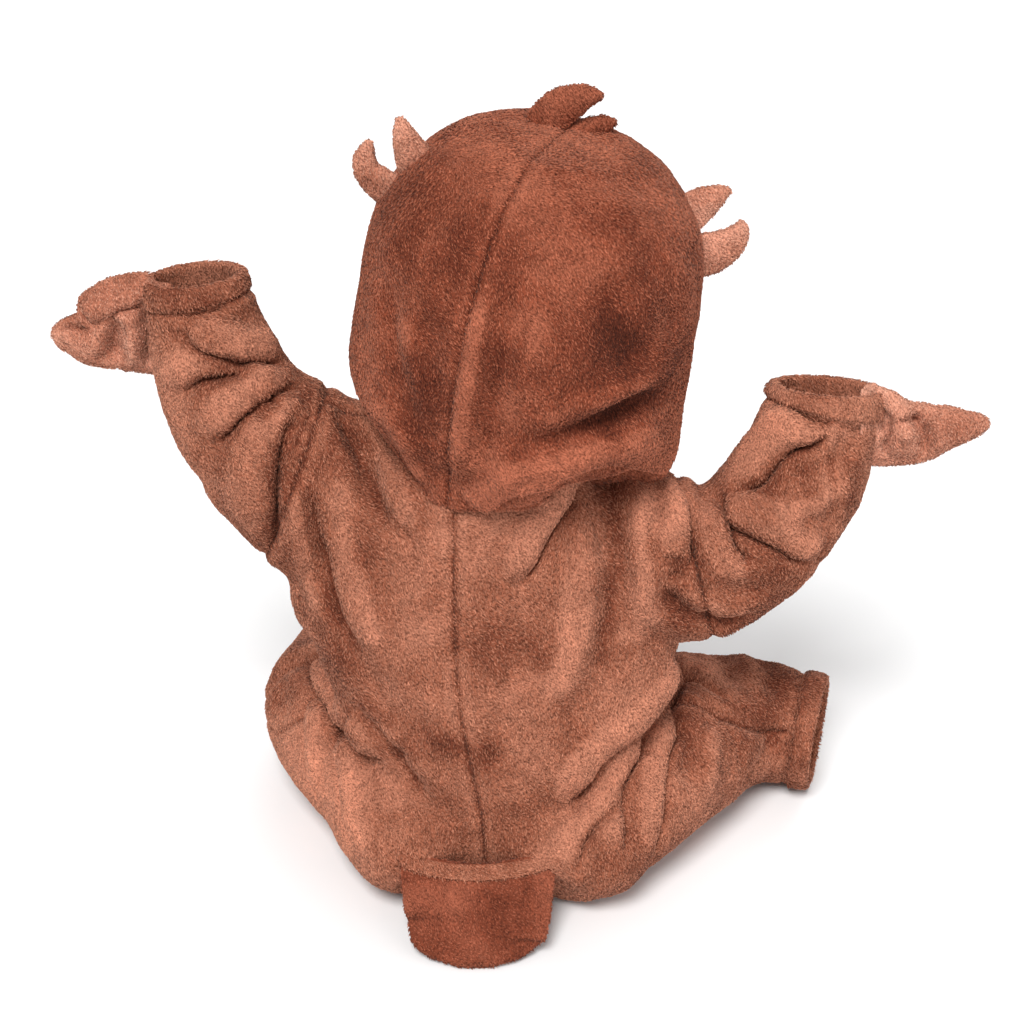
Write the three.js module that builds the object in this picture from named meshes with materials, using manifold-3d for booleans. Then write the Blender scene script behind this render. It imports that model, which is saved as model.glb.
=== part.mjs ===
// Baby kigurumi romper: a hooded plush bird suit, in the pose of a sitting baby with both arms up.
// Millimetres. +X is the wearer's right, +Y the way the wearer faces, +Z up.
// Tables are written from the floor under the seat; the finished group is moved so that
// its origin lies at the neck, where the wearer holds the suit.
import * as THREE from 'three';
import { mergeVertices } from 'three/addons/utils/BufferGeometryUtils.js';
import Module from 'manifold-3d';

const wasm = await Module();
wasm.setup();

// ---------------------------------------------------------------- directions and driving sizes
const RIGHT = new THREE.Vector3(1, 0, 0);
const UP = new THREE.Vector3(0, 0, 1);
const FORWARD = new THREE.Vector3(0, 1, 0);
const WALL = 2.4;              // plush cloth with its pile pressed down
const SEAM = 0.3;              // gap between two pieces at a seam
const BAND = 2;                // thickness of a strip sewn on a panel
const NECK = { x: 14, y: 62, z: 266 };
const HEAD_ROLL = 10;          // degrees, head leans to the wearer's right
const HEAD_YAW = 20;           // degrees, face turned to the wearer's right
const CUFF_LENGTH = 13;
const CUFF_PROUD = 2.4;        // turned edges stand this far out of the cloth beside them
const TURNED_EDGE = 4.6;       // thickness of a turned edge, which is the cloth twice
const LEG_HEM_LENGTH = 14;
const BUTTON = { radius: 7, thickness: 2.6, count: 5, low: 118, high: 232, sides: 14 };
const PLACKET = { low: 100, high: 246, middle: -9, halfWidth: 11 };
const WELT = { low: 34.5, high: 41, left: -40, right: 46 };
const FAR = 400;               // reach of a cutting block
const FOLD_RIDGE = { away: 1.9, height: 0.4 };   // in widths and depths of the fold beside it
const LIMB_REACH = 60;         // half width of a block that cuts one limb only
const LIMB_END = 60;           // how far past a limb's end its cutting block runs
const SLEEVE_TAKEN = 3;        // the sleeve's cutting form stands this far out of its cloth
const TRUNK_CLEARED = 4;       // and this far where the trunk is cut away for it
const HOOD_LAP = 1;            // how much deeper than the hood's wall the trunk is cut away
const CUFF_AT = 0.84;          // share of the sleeve's sections at which the cuff starts
const HEM_AT = 0.89;           // share of the leg's sections at which the hem starts
const ARMHOLE_LEFT = { point: new THREE.Vector3(-106, 72, 250), axis: new THREE.Vector3(-0.93, 0.05, 0.36) };
const ARMHOLE_RIGHT = { point: new THREE.Vector3(128, 60, 204), axis: new THREE.Vector3(0.97, 0.05, 0.22) };
const NECK_AXIS = new THREE.Vector3(0.2, -0.28, 0.94);
const HOOD_CENTRE = new THREE.Vector3(27, 82, 372);
const LEG_FLOOR = 0.5;         // lowest point of a leg
const SEAM_POINTS = 13;        // points along the centre seam
const PROFILE_ROWS = 60;       // sections read to find how far forward the trunk reaches
const SAME_POINT = 1e-4;       // points closer than this are one point
const BACK_TURN = -120;        // a turn below this is counted from the other side of a form

const PLUSH = { color: 0x8a4b2e, roughness: 0.95, metalness: 0 };
const PLUSH_PALE = { color: 0x9c6440, roughness: 0.95, metalness: 0 };
const BUTTON_LOOK = { color: 0x5a3120, roughness: 0.45, metalness: 0 };

// ---------------------------------------------------------------- section tables
// centre x y z, half width a, half depth b, roll in degrees (wearer's right side down)
const TORSO = [
  { x: 4, y: 52, z: 0, a: 40, b: 50, roll: 0 },
  { x: 5, y: 54, z: 14, a: 53, b: 67, roll: 0 },
  { x: 9, y: 58, z: 40, a: 62, b: 73, roll: 0 },
  { x: 12, y: 62, z: 70, a: 76, b: 76, roll: 0 },
  { x: 12, y: 65, z: 100, a: 92, b: 77, roll: 2 },
  { x: 12, y: 67, z: 130, a: 106, b: 75, roll: 4 },
  { x: 6, y: 68, z: 165, a: 116, b: 70, roll: 6 },
  { x: 6, y: 68, z: 198, a: 112, b: 64, roll: 9 },
  { x: 7, y: 67, z: 226, a: 104, b: 57, roll: 12 },
  { x: 9, y: 66, z: 248, a: 84, b: 50, roll: 14 },
  { x: 11, y: 64, z: 262, a: 62, b: 44, roll: 15 },
  { x: 14, y: 62, z: 274, a: 50, b: 40, roll: 15 },
  { x: 17, y: 61, z: 290, a: 48, b: 38, roll: 15 },
];

const SLEEVE_LEFT = [
  { x: -40, y: 70, z: 205, a: 40, b: 30 },
  { x: -64, y: 70, z: 221, a: 55, b: 38 },
  { x: -89, y: 72, z: 243, a: 55, b: 42 },
  { x: -114, y: 74, z: 266, a: 49, b: 41 },
  { x: -136, y: 80, z: 291, a: 41, b: 37 },
  { x: -151, y: 88, z: 325, a: 35, b: 33 },
  { x: -158, y: 94, z: 358, a: 28, b: 27 },
  { x: -160, y: 97, z: 378, a: 26, b: 25 },
];

const SLEEVE_RIGHT = [
  { x: 48, y: 66, z: 210, a: 38, b: 28 },
  { x: 78, y: 65, z: 206, a: 53, b: 37 },
  { x: 106, y: 63, z: 200, a: 53, b: 41 },
  { x: 134, y: 63, z: 198, a: 46, b: 40 },
  { x: 163, y: 67, z: 215, a: 41, b: 37 },
  { x: 189, y: 78, z: 250, a: 38, b: 35 },
  { x: 202, y: 90, z: 290, a: 32, b: 30 },
  { x: 203, y: 96, z: 312, a: 29, b: 28 },
];

const LEG_LEFT = [
  { x: -28, y: -15, z: 25, a: 20, b: 20 },
  { x: -34, y: -3, z: 33, a: 37, b: 33 },
  { x: -40, y: 24, z: 41, a: 47, b: 42 },
  { x: -50, y: 58, z: 48, a: 51, b: 48 },
  { x: -70, y: 92, z: 50, a: 52, b: 50 },
  { x: -86, y: 124, z: 48, a: 49, b: 48 },
  { x: -88, y: 156, z: 45, a: 45, b: 45 },
  { x: -74, y: 188, z: 42, a: 39, b: 41 },
  { x: -55, y: 212, z: 39, a: 34, b: 37 },
  { x: -45, y: 228, z: 38, a: 33, b: 36 },
];

const LEG_RIGHT = [
  { x: 43, y: -20, z: 24, a: 27, b: 23 },
  { x: 48, y: -7, z: 32, a: 47, b: 33 },
  { x: 58, y: 20, z: 40, a: 56, b: 41 },
  { x: 78, y: 50, z: 46, a: 61, b: 46 },
  { x: 102, y: 80, z: 48, a: 61, b: 48 },
  { x: 128, y: 104, z: 46, a: 56, b: 46 },
  { x: 154, y: 120, z: 43, a: 49, b: 42 },
  { x: 180, y: 126, z: 40, a: 41, b: 38 },
  { x: 202, y: 122, z: 38, a: 35, b: 35 },
  { x: 218, y: 118, z: 37, a: 34, b: 34 },
];

const HOOD = [
  { x: 4, y: 58, z: 252, a: 44, b: 45, roll: 14 },
  { x: 10, y: 61, z: 262, a: 56, b: 51, roll: 14 },
  { x: 22, y: 67, z: 275, a: 82, b: 62, roll: 14 },
  { x: 22, y: 73, z: 292, a: 95, b: 78, roll: 14 },
  { x: 24, y: 77, z: 316, a: 97, b: 88, roll: 14 },
  { x: 28, y: 80, z: 342, a: 96, b: 94, roll: 14 },
  { x: 32, y: 82, z: 369, a: 95, b: 96, roll: 14 },
  { x: 38, y: 84, z: 395, a: 92, b: 92, roll: 14 },
  { x: 44, y: 86, z: 419, a: 82, b: 82, roll: 13 },
  { x: 47, y: 88, z: 439, a: 64, b: 65, roll: 11 },
  { x: 48, y: 89, z: 451, a: 38, b: 42, roll: 10 },
];
const FACE_OPENING = { halfWidth: 62, halfHeight: 80, drop: 28, reach: 200 };

// stuffed feathers, wing tips and tail: centre line, half width a and half thickness b
const FEATHERS = {
  crest_large: [
    { x: 36, y: 112, z: 441, a: 11, b: 4.5 },
    { x: 40, y: 112, z: 452, a: 12, b: 5 },
    { x: 47, y: 111, z: 461, a: 11.3, b: 5 },
    { x: 54, y: 109, z: 466, a: 10, b: 5 },
    { x: 60, y: 107, z: 469.5, a: 7.6, b: 4.5 },
    { x: 66, y: 105, z: 471, a: 4.8, b: 3.5 },
    { x: 70.5, y: 104, z: 471.5, a: 1.8, b: 1.4 },
  ],
  crest_small: [
    { x: 50, y: 112, z: 440, a: 6, b: 4 },
    { x: 56, y: 112, z: 444.5, a: 6.5, b: 4.5 },
    { x: 62, y: 112, z: 448, a: 6.6, b: 4.5 },
    { x: 69, y: 113, z: 450, a: 6.2, b: 4 },
    { x: 74, y: 113, z: 451.5, a: 4.8, b: 3.2 },
    { x: 78.5, y: 112, z: 452.5, a: 1.7, b: 1.3 },
  ],
  tuft_left_upper: [
    { x: -28, y: 88, z: 430, a: 11, b: 4.5 },
    { x: -32, y: 88, z: 440, a: 11, b: 4.8 },
    { x: -35.5, y: 88, z: 448, a: 8.8, b: 4.6 },
    { x: -38, y: 88, z: 455, a: 6.2, b: 4 },
    { x: -39.5, y: 88, z: 460.5, a: 4.2, b: 3 },
    { x: -40.5, y: 88, z: 464.5, a: 1.6, b: 1.3 },
  ],
  tuft_left_lower: [
    { x: -38, y: 90, z: 415, a: 10.5, b: 4.8 },
    { x: -46, y: 90, z: 421, a: 10, b: 5 },
    { x: -53, y: 90, z: 426.5, a: 9.2, b: 5 },
    { x: -58.5, y: 90, z: 432.5, a: 7.8, b: 4.6 },
    { x: -60, y: 90, z: 439.5, a: 6.4, b: 4 },
    { x: -58.8, y: 90, z: 445.5, a: 4.3, b: 3.2 },
    { x: -57, y: 90, z: 450.5, a: 1.7, b: 1.3 },
  ],
  tuft_right_upper: [
    { x: 108, y: 94, z: 396, a: 13, b: 4.8 },
    { x: 117, y: 94, z: 404, a: 12.4, b: 5 },
    { x: 124, y: 94, z: 409.5, a: 10.8, b: 5 },
    { x: 131, y: 94, z: 414, a: 8.4, b: 4.5 },
    { x: 137, y: 94, z: 417.5, a: 5.4, b: 3.6 },
    { x: 142, y: 94, z: 420, a: 1.9, b: 1.4 },
  ],
  tuft_right_lower: [
    { x: 112, y: 96, z: 379, a: 13.5, b: 4.8 },
    { x: 122, y: 96, z: 378.5, a: 13.6, b: 5 },
    { x: 132, y: 96, z: 380.5, a: 13, b: 5 },
    { x: 140, y: 96, z: 384.5, a: 11, b: 4.6 },
    { x: 146, y: 96, z: 390, a: 8.2, b: 4 },
    { x: 149, y: 96, z: 396, a: 5, b: 3.2 },
    { x: 149.5, y: 96, z: 400.5, a: 1.8, b: 1.3 },
  ],
};
const WING_LEFT = [
  { x: -166, y: 90, z: 338, a: 32, b: 8 },
  { x: -182, y: 90, z: 339.5, a: 32, b: 9 },
  { x: -197, y: 91, z: 338.5, a: 31, b: 9 },
  { x: -209, y: 91, z: 335.5, a: 27.5, b: 9 },
  { x: -217, y: 91, z: 332.5, a: 23, b: 8.5 },
  { x: -223, y: 92, z: 331, a: 18, b: 8 },
  { x: -230, y: 92, z: 331.5, a: 12.5, b: 7 },
  { x: -237, y: 92, z: 332.5, a: 8.5, b: 5.5 },
  { x: -241.5, y: 92, z: 333, a: 3, b: 2.5 },
];
const WING_RIGHT = [
  { x: 210, y: 84, z: 278, a: 26, b: 8 },
  { x: 228, y: 84, z: 276, a: 26, b: 8.5 },
  { x: 240, y: 84, z: 273, a: 23, b: 8.5 },
  { x: 251, y: 84, z: 272, a: 20.7, b: 8 },
  { x: 261, y: 84, z: 273, a: 18.6, b: 7.5 },
  { x: 271, y: 84, z: 275, a: 14.6, b: 7 },
  { x: 282, y: 84, z: 276.5, a: 10.5, b: 6 },
  { x: 291, y: 84, z: 278, a: 7, b: 4.6 },
  { x: 297, y: 84, z: 278.5, a: 2.6, b: 2.2 },
];
const TAIL = [
  { x: 3, y: -10, z: 33, a: 42, b: 3.4 },
  { x: 2, y: -22, z: 26, a: 44, b: 3.6 },
  { x: 1, y: -35, z: 15, a: 43, b: 3.6 },
  { x: 0, y: -49, z: 7, a: 38, b: 3.6 },
  { x: 0, y: -61, z: 4.4, a: 27, b: 3.4 },
  { x: 0, y: -68, z: 3.8, a: 11, b: 2.8 },
];

// folds: from (turn1, v1) to (turn2, v2) on a form; turn in degrees from the form's width axis,
// v from 0 at its first section to 1 at its last; depth below the surface and half width, mm
const SLEEVE_LEFT_FOLDS = [
  { turn1: 215, v1: 0.72, turn2: 340, v2: 0.62, depth: 8, width: 10 },
  { turn1: 215, v1: 0.50, turn2: 330, v2: 0.42, depth: 8, width: 10 },
  { turn1: 40, v1: 0.64, turn2: 140, v2: 0.56, depth: 6, width: 11 },
];
const SLEEVE_RIGHT_FOLDS = [
  { turn1: 210, v1: 0.64, turn2: 320, v2: 0.76, depth: 8, width: 10 },
  { turn1: 215, v1: 0.48, turn2: 310, v2: 0.50, depth: 7, width: 10 },
  { turn1: 50, v1: 0.60, turn2: 140, v2: 0.66, depth: 6, width: 11 },
];
const TORSO_FOLDS = [
  { turn1: 214, v1: 0.58, turn2: 220, v2: 0.74, depth: 6, width: 12 },
  { turn1: 318, v1: 0.50, turn2: 326, v2: 0.72, depth: 7, width: 12 },
  { turn1: 244, v1: 0.26, turn2: 228, v2: 0.40, depth: 6, width: 12 },
  { turn1: 300, v1: 0.54, turn2: 286, v2: 0.72, depth: 5, width: 12 },
];
const LEG_FOLDS = [
  { turn1: 120, v1: 0.44, turn2: 300, v2: 0.52, depth: 6, width: 11 },
  { turn1: 30, v1: 0.60, turn2: 210, v2: 0.66, depth: 5, width: 11 },
];
const HOOD_FOLDS = [
  { turn1: 288, v1: 0.18, turn2: 344, v2: 0.30, depth: 8, width: 13 },
  { turn1: 236, v1: 0.14, turn2: 222, v2: 0.40, depth: 4, width: 12 },
];

// the centre seam leans with the body: where it lies at each height, seen from the back
const CENTRE_SEAM = [
  { x: 5, z: 20 },
  { x: 4, z: 60 },
  { x: -4, z: 108 },
  { x: -10, z: 150 },
  { x: -12, z: 205 },
  { x: -12, z: 260 },
];
// the side seam, seen from the side: forward along the leg, then up the side of the trunk
const SIDE_SEAM = {
  legEnd: { y: FAR, z: 46 },
  thigh: { y: 120, z: 50 },
  bend: { y: 74, z: 54 },
  hip: { y: 72, z: 96 },
  underarm: { y: 66, z: 240 },
};

// ---------------------------------------------------------------- small helpers
const rad = THREE.MathUtils.degToRad;

function catmull(p0, p1, p2, p3, t) {
  const a = 2 * p1;
  const b = p2 - p0;
  const c = 2 * p0 - 5 * p1 + 4 * p2 - p3;
  const d = 3 * p1 - p0 - 3 * p2 + p3;
  return 0.5 * (a + t * (b + t * (c + t * d)));
}

// a smooth run of sections through the rows of a table
function smoothRows(rows, count) {
  const keys = Object.keys(rows[0]);
  const last = rows.length - 1;
  const sections = [];
  for (let i = 0; i < count; i += 1) {
    const s = (i / (count - 1)) * last;
    const k = Math.min(Math.floor(s), last - 1);
    const near = [k - 1, k, k + 1, k + 2].map((n) => rows[Math.min(Math.max(n, 0), last)]);
    const section = {};
    for (const key of keys) {
      section[key] = catmull(near[0][key], near[1][key], near[2][key], near[3][key], s - k);
    }
    sections.push(section);
  }
  return sections;
}

// width and depth directions of a section that stands level, turned by its roll
function levelFrame(section) {
  const r = rad(section.roll);
  return {
    wide: new THREE.Vector3(Math.cos(r), 0, -Math.sin(r)),
    deep: new THREE.Vector3(0, 1, 0),
  };
}

// width and depth directions of a section square to its centre line
function limbFrame(flat) {
  return (section, index, sections) => {
    const before = sections[Math.max(index - 1, 0)];
    const after = sections[Math.min(index + 1, sections.length - 1)];
    const along = new THREE.Vector3(after.x - before.x, after.y - before.y, after.z - before.z);
    along.normalize();
    const wide = new THREE.Vector3().crossVectors(flat, along).normalize();
    return { wide, deep: new THREE.Vector3().crossVectors(along, wide) };
  };
}

function foldDepth(folds, turn, v, radius, length) {
  let depth = 0;
  for (const fold of folds) {
    const du = (fold.turn2 - fold.turn1) * radius * rad(1);
    const dv = (fold.v2 - fold.v1) * length;
    let turnFrom = turn - fold.turn1;
    if (turnFrom < BACK_TURN) turnFrom += 360;
    const pu = turnFrom * radius * rad(1);
    const pv = (v - fold.v1) * length;
    const t = THREE.MathUtils.clamp((pu * du + pv * dv) / (du * du + dv * dv), 0, 1);
    const away = Math.hypot(pu - t * du, pv - t * dv) / fold.width;
    // a trough with a lower ridge on each side of it
    const ridge = away - FOLD_RIDGE.away;
    depth += fold.depth * (Math.exp(-away * away) - FOLD_RIDGE.height * Math.exp(-ridge * ridge));
  }
  return depth;
}

// a closed form through sections, with its points moved out by `out`
function form({ rows, count, around, frame, folds = [], power = 2, floor = null }, out = 0) {
  const sections = smoothRows(rows, count);
  const length = sections.slice(1).reduce((sum, s, i) => {
    const b = sections[i];
    return sum + Math.hypot(s.x - b.x, s.y - b.y, s.z - b.z);
  }, 0);
  const points = [];
  sections.forEach((section, i) => {
    const { wide, deep } = frame(section, i, sections);
    for (let j = 0; j < around; j += 1) {
      const turn = (j / around) * 360;
      const c = Math.cos(rad(turn));
      const s = Math.sin(rad(turn));
      const flat = Math.pow(Math.abs(c) ** power + Math.abs(s) ** power, -1 / power);
      const dent = foldDepth(folds, turn, i / (count - 1), section.a, length);
      const p = new THREE.Vector3(section.x, section.y, section.z);
      p.addScaledVector(wide, (section.a * flat - dent) * c);
      p.addScaledVector(deep, (section.b * flat - dent) * s);
      if (floor !== null) p.z = Math.max(p.z, floor);
      points.push(p);
    }
  });
  const first = new THREE.Vector3(sections[0].x, sections[0].y, sections[0].z);
  const end = sections[count - 1];
  points.push(first, new THREE.Vector3(end.x, end.y, end.z));
  const faces = [];
  for (let i = 0; i < count - 1; i += 1) {
    for (let j = 0; j < around; j += 1) {
      const a = i * around + j;
      const b = i * around + ((j + 1) % around);
      faces.push(a, b, b + around, a, b + around, a + around);
    }
  }
  const firstPole = count * around;
  for (let j = 0; j < around; j += 1) {
    const next = (j + 1) % around;
    faces.push(firstPole, next, j);
    faces.push(firstPole + 1, (count - 1) * around + j, (count - 1) * around + next);
  }
  return solid(points, faces, out);
}

// a closed solid from points and faces, each point moved out along its normal
function solid(points, faces, out) {
  const geometry = new THREE.BufferGeometry();
  geometry.setAttribute('position', new THREE.Float32BufferAttribute(points.flatMap((p) => p.toArray()), 3));
  geometry.setIndex(faces);
  if (signedVolume(points, faces) < 0) {
    for (let i = 0; i < faces.length; i += 3) [faces[i + 1], faces[i + 2]] = [faces[i + 2], faces[i + 1]];
    geometry.setIndex(faces);
  }
  if (out !== 0) {
    geometry.computeVertexNormals();
    const position = geometry.getAttribute('position');
    const normal = geometry.getAttribute('normal');
    for (let i = 0; i < position.count; i += 1) {
      position.setXYZ(
        i,
        position.getX(i) + normal.getX(i) * out,
        position.getY(i) + normal.getY(i) * out,
        position.getZ(i) + normal.getZ(i) * out,
      );
    }
  }
  return toManifold(geometry);
}

function signedVolume(points, faces) {
  let six = 0;
  const cross = new THREE.Vector3();
  for (let i = 0; i < faces.length; i += 3) {
    cross.crossVectors(points[faces[i + 1]], points[faces[i + 2]]);
    six += points[faces[i]].dot(cross);
  }
  return six;
}

function toManifold(geometry) {
  const bare = geometry.clone();
  bare.deleteAttribute('normal');
  bare.deleteAttribute('uv');
  const merged = mergeVertices(bare, SAME_POINT);
  return new wasm.Manifold(new wasm.Mesh({
    numProp: 3,
    vertProperties: new Float32Array(merged.getAttribute('position').array),
    triVerts: new Uint32Array(merged.index.array),
  }));
}

function toGeometry(manifold) {
  const mesh = manifold.getMesh();
  const geometry = new THREE.BufferGeometry();
  geometry.setAttribute('position', new THREE.BufferAttribute(new Float32Array(mesh.vertProperties), 3));
  geometry.setIndex(new THREE.BufferAttribute(new Uint32Array(mesh.triVerts), 1));
  return geometry;
}

// the main body of a cut piece, without the crumbs that a cut leaves beside it
function mainBody(manifold) {
  return manifold.decompose().reduce((big, one) => (one.volume() > big.volume() ? one : big));
}

function union(list) {
  return list.reduce((sum, next) => sum.add(next));
}

// a block that covers `from` to `to` along an axis through a point
function slab(point, axis, from, to, half = FAR) {
  const geometry = new THREE.BoxGeometry(2 * half, 2 * half, to - from);
  geometry.translate(0, 0, (from + to) / 2);
  const turn = new THREE.Quaternion().setFromUnitVectors(UP, axis.clone().normalize());
  geometry.applyQuaternion(turn);
  geometry.translate(point.x, point.y, point.z);
  return toManifold(geometry);
}

function block(x0, x1, y0, y1, z0, z1) {
  const geometry = new THREE.BoxGeometry(x1 - x0, y1 - y0, z1 - z0);
  geometry.translate((x0 + x1) / 2, (y0 + y1) / 2, (z0 + z1) / 2);
  return toManifold(geometry);
}

// ---------------------------------------------------------------- the five forms
const torsoForm = {
  rows: TORSO, count: 18, around: 28, frame: levelFrame, folds: TORSO_FOLDS, power: 2.15, floor: 0,
};
const sleeveLeftForm = {
  rows: SLEEVE_LEFT, count: 19, around: 22, frame: limbFrame(FORWARD), folds: SLEEVE_LEFT_FOLDS,
};
const sleeveRightForm = {
  rows: SLEEVE_RIGHT, count: 19, around: 22, frame: limbFrame(FORWARD), folds: SLEEVE_RIGHT_FOLDS,
};
const legLeftForm = {
  rows: LEG_LEFT, count: 14, around: 18, frame: limbFrame(UP), folds: LEG_FOLDS, floor: LEG_FLOOR,
};
const legRightForm = {
  rows: LEG_RIGHT, count: 14, around: 18, frame: limbFrame(UP), folds: LEG_FOLDS, floor: LEG_FLOOR,
};
const hoodForm = { rows: HOOD, count: 16, around: 28, frame: levelFrame, folds: HOOD_FOLDS, power: 2.1 };

const bodyForms = [torsoForm, sleeveLeftForm, sleeveRightForm, legLeftForm, legRightForm];
const bodySolid = (out) => union(bodyForms.map((one) => form(one, out)));

// where a form's centre line passes a share v of its sections, and its direction there
function station(one, v) {
  const sections = smoothRows(one.rows, one.count);
  const s = v * (one.count - 1);
  const k = Math.min(Math.floor(s), one.count - 2);
  const a = new THREE.Vector3(sections[k].x, sections[k].y, sections[k].z);
  const b = new THREE.Vector3(sections[k + 1].x, sections[k + 1].y, sections[k + 1].z);
  return { point: a.clone().lerp(b, s - k), axis: b.sub(a).normalize() };
}

// how far forward the trunk reaches on the centre line at a height
function frontDepth(z) {
  const sections = smoothRows(TORSO, PROFILE_ROWS);
  const section = sections.reduce((near, one) => (Math.abs(one.z - z) < Math.abs(near.z - z) ? one : near));
  return section.y + section.b;
}

// ---------------------------------------------------------------- body panels and sleeves
const shell = bodySolid(0).subtract(bodySolid(-WALL));

function beyond(one, armhole, start, out) {
  return form(one, out).intersect(slab(armhole.point, armhole.axis, start, FAR));
}

function sleevePieces(one, armhole) {
  const cuff = station(one, CUFF_AT);
  const sleeve = shell
    .intersect(beyond(one, armhole, SEAM / 2, SLEEVE_TAKEN))
    .subtract(slab(cuff.point, cuff.axis, -SEAM / 2, LIMB_END, LIMB_REACH));
  const band = form(one, CUFF_PROUD)
    .subtract(form(one, CUFF_PROUD - TURNED_EDGE))
    .intersect(slab(cuff.point, cuff.axis, SEAM / 2, CUFF_LENGTH, LIMB_REACH));
  return { sleeve, band };
}

function legHem(one) {
  const hem = station(one, HEM_AT);
  return form(one, CUFF_PROUD)
    .subtract(form(one, CUFF_PROUD - TURNED_EDGE))
    .intersect(slab(hem.point, hem.axis, SEAM / 2, LEG_HEM_LENGTH, LIMB_REACH))
    .intersect(block(-FAR, FAR, -FAR, FAR, 0, FAR));
}

// everything behind and below the side seam
function backRegion() {
  const profile = new THREE.Shape();
  profile.moveTo(-FAR, -FAR);
  profile.lineTo(FAR, -FAR);
  profile.lineTo(SIDE_SEAM.legEnd.y, SIDE_SEAM.legEnd.z);
  profile.lineTo(SIDE_SEAM.thigh.y, SIDE_SEAM.thigh.z);
  profile.quadraticCurveTo(SIDE_SEAM.bend.y, SIDE_SEAM.bend.z, SIDE_SEAM.hip.y, SIDE_SEAM.hip.z);
  profile.lineTo(SIDE_SEAM.underarm.y, SIDE_SEAM.underarm.z);
  profile.lineTo(SIDE_SEAM.underarm.y, FAR);
  profile.lineTo(-FAR, FAR);
  profile.closePath();
  const geometry = new THREE.ExtrudeGeometry(profile, {
    depth: 2 * FAR, bevelEnabled: false, curveSegments: 8,
  });
  // the profile is drawn in Y and Z, and swept along X
  geometry.applyMatrix4(new THREE.Matrix4().makeBasis(FORWARD, UP, RIGHT));
  geometry.translate(-FAR, 0, 0);
  return toManifold(geometry);
}

// everything on one side of the centre seam: side is 1 for the wearer's right and -1 for the left
function besideCentre(side) {
  const seam = smoothRows(CENTRE_SEAM, SEAM_POINTS);
  const [low, high] = [seam[0], seam[seam.length - 1]];
  const profile = new THREE.Shape();
  profile.moveTo(side * FAR, -FAR);
  profile.lineTo(low.x + side * SEAM / 2, -FAR);
  for (const point of seam) profile.lineTo(point.x + side * SEAM / 2, point.z);
  profile.lineTo(high.x + side * SEAM / 2, FAR);
  profile.lineTo(side * FAR, FAR);
  profile.closePath();
  const geometry = new THREE.ExtrudeGeometry(profile, { depth: 2 * FAR, bevelEnabled: false });
  // the profile is drawn in X and Z, and swept along Y
  geometry.applyMatrix4(new THREE.Matrix4().makeBasis(RIGHT, UP, FORWARD.clone().negate()));
  geometry.translate(0, FAR, 0);
  return toManifold(geometry);
}

const leftSleeve = sleevePieces(sleeveLeftForm, ARMHOLE_LEFT);
const rightSleeve = sleevePieces(sleeveRightForm, ARMHOLE_RIGHT);

const leftHemAt = station(legLeftForm, HEM_AT);
const rightHemAt = station(legRightForm, HEM_AT);

const trunk = shell
  .subtract(beyond(sleeveLeftForm, ARMHOLE_LEFT, -SEAM / 2, TRUNK_CLEARED))
  .subtract(beyond(sleeveRightForm, ARMHOLE_RIGHT, -SEAM / 2, TRUNK_CLEARED))
  .subtract(slab(leftHemAt.point, leftHemAt.axis, -SEAM / 2, LIMB_END, LIMB_REACH))
  .subtract(slab(rightHemAt.point, rightHemAt.axis, -SEAM / 2, LIMB_END, LIMB_REACH))
  .subtract(form(hoodForm, -WALL - HOOD_LAP));

const back = backRegion();
const frontOf = back.translate(0, SEAM, SEAM);
const leftOf = besideCentre(-1);
const rightOf = besideCentre(1);

// ---------------------------------------------------------------- hood
const hoodUp = new THREE.Vector3(Math.sin(rad(HEAD_ROLL)), 0, Math.cos(rad(HEAD_ROLL)));
const hoodFace = new THREE.Vector3(Math.sin(rad(HEAD_YAW)), Math.cos(rad(HEAD_YAW)), 0);
hoodFace.addScaledVector(hoodUp, -hoodFace.dot(hoodUp)).normalize();
const hoodSide = new THREE.Vector3().crossVectors(hoodFace, hoodUp).normalize();

function faceOpening() {
  const oval = new THREE.Shape();
  oval.absellipse(0, 0, FACE_OPENING.halfWidth, FACE_OPENING.halfHeight, 0, 2 * Math.PI);
  const geometry = new THREE.ExtrudeGeometry(oval, {
    depth: FACE_OPENING.reach, bevelEnabled: false, curveSegments: 18,
  });
  const middle = HOOD_CENTRE.clone().addScaledVector(hoodUp, -FACE_OPENING.drop);
  geometry.applyMatrix4(new THREE.Matrix4().makeBasis(hoodSide.clone().negate(), hoodUp, hoodFace));
  geometry.translate(middle.x, middle.y, middle.z);
  return toManifold(geometry);
}

function hoodPieces() {
  const wall = form(hoodForm, 0)
    .subtract(form(hoodForm, -WALL))
    .subtract(faceOpening())
    .subtract(bodySolid(SEAM))
    .subtract(slab(NECK, NECK_AXIS, -FAR, SEAM));
  return {
    left: wall.intersect(slab(HOOD_CENTRE, hoodSide.clone().negate(), SEAM / 2, FAR)),
    right: wall.intersect(slab(HOOD_CENTRE, hoodSide, SEAM / 2, FAR)),
  };
}

// ---------------------------------------------------------------- the finished group
const group = new THREE.Group();

function add(name, manifold, look) {
  const mesh = new THREE.Mesh(toGeometry(mainBody(manifold)), new THREE.MeshStandardMaterial(look));
  mesh.name = name;
  group.add(mesh);
}

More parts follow.
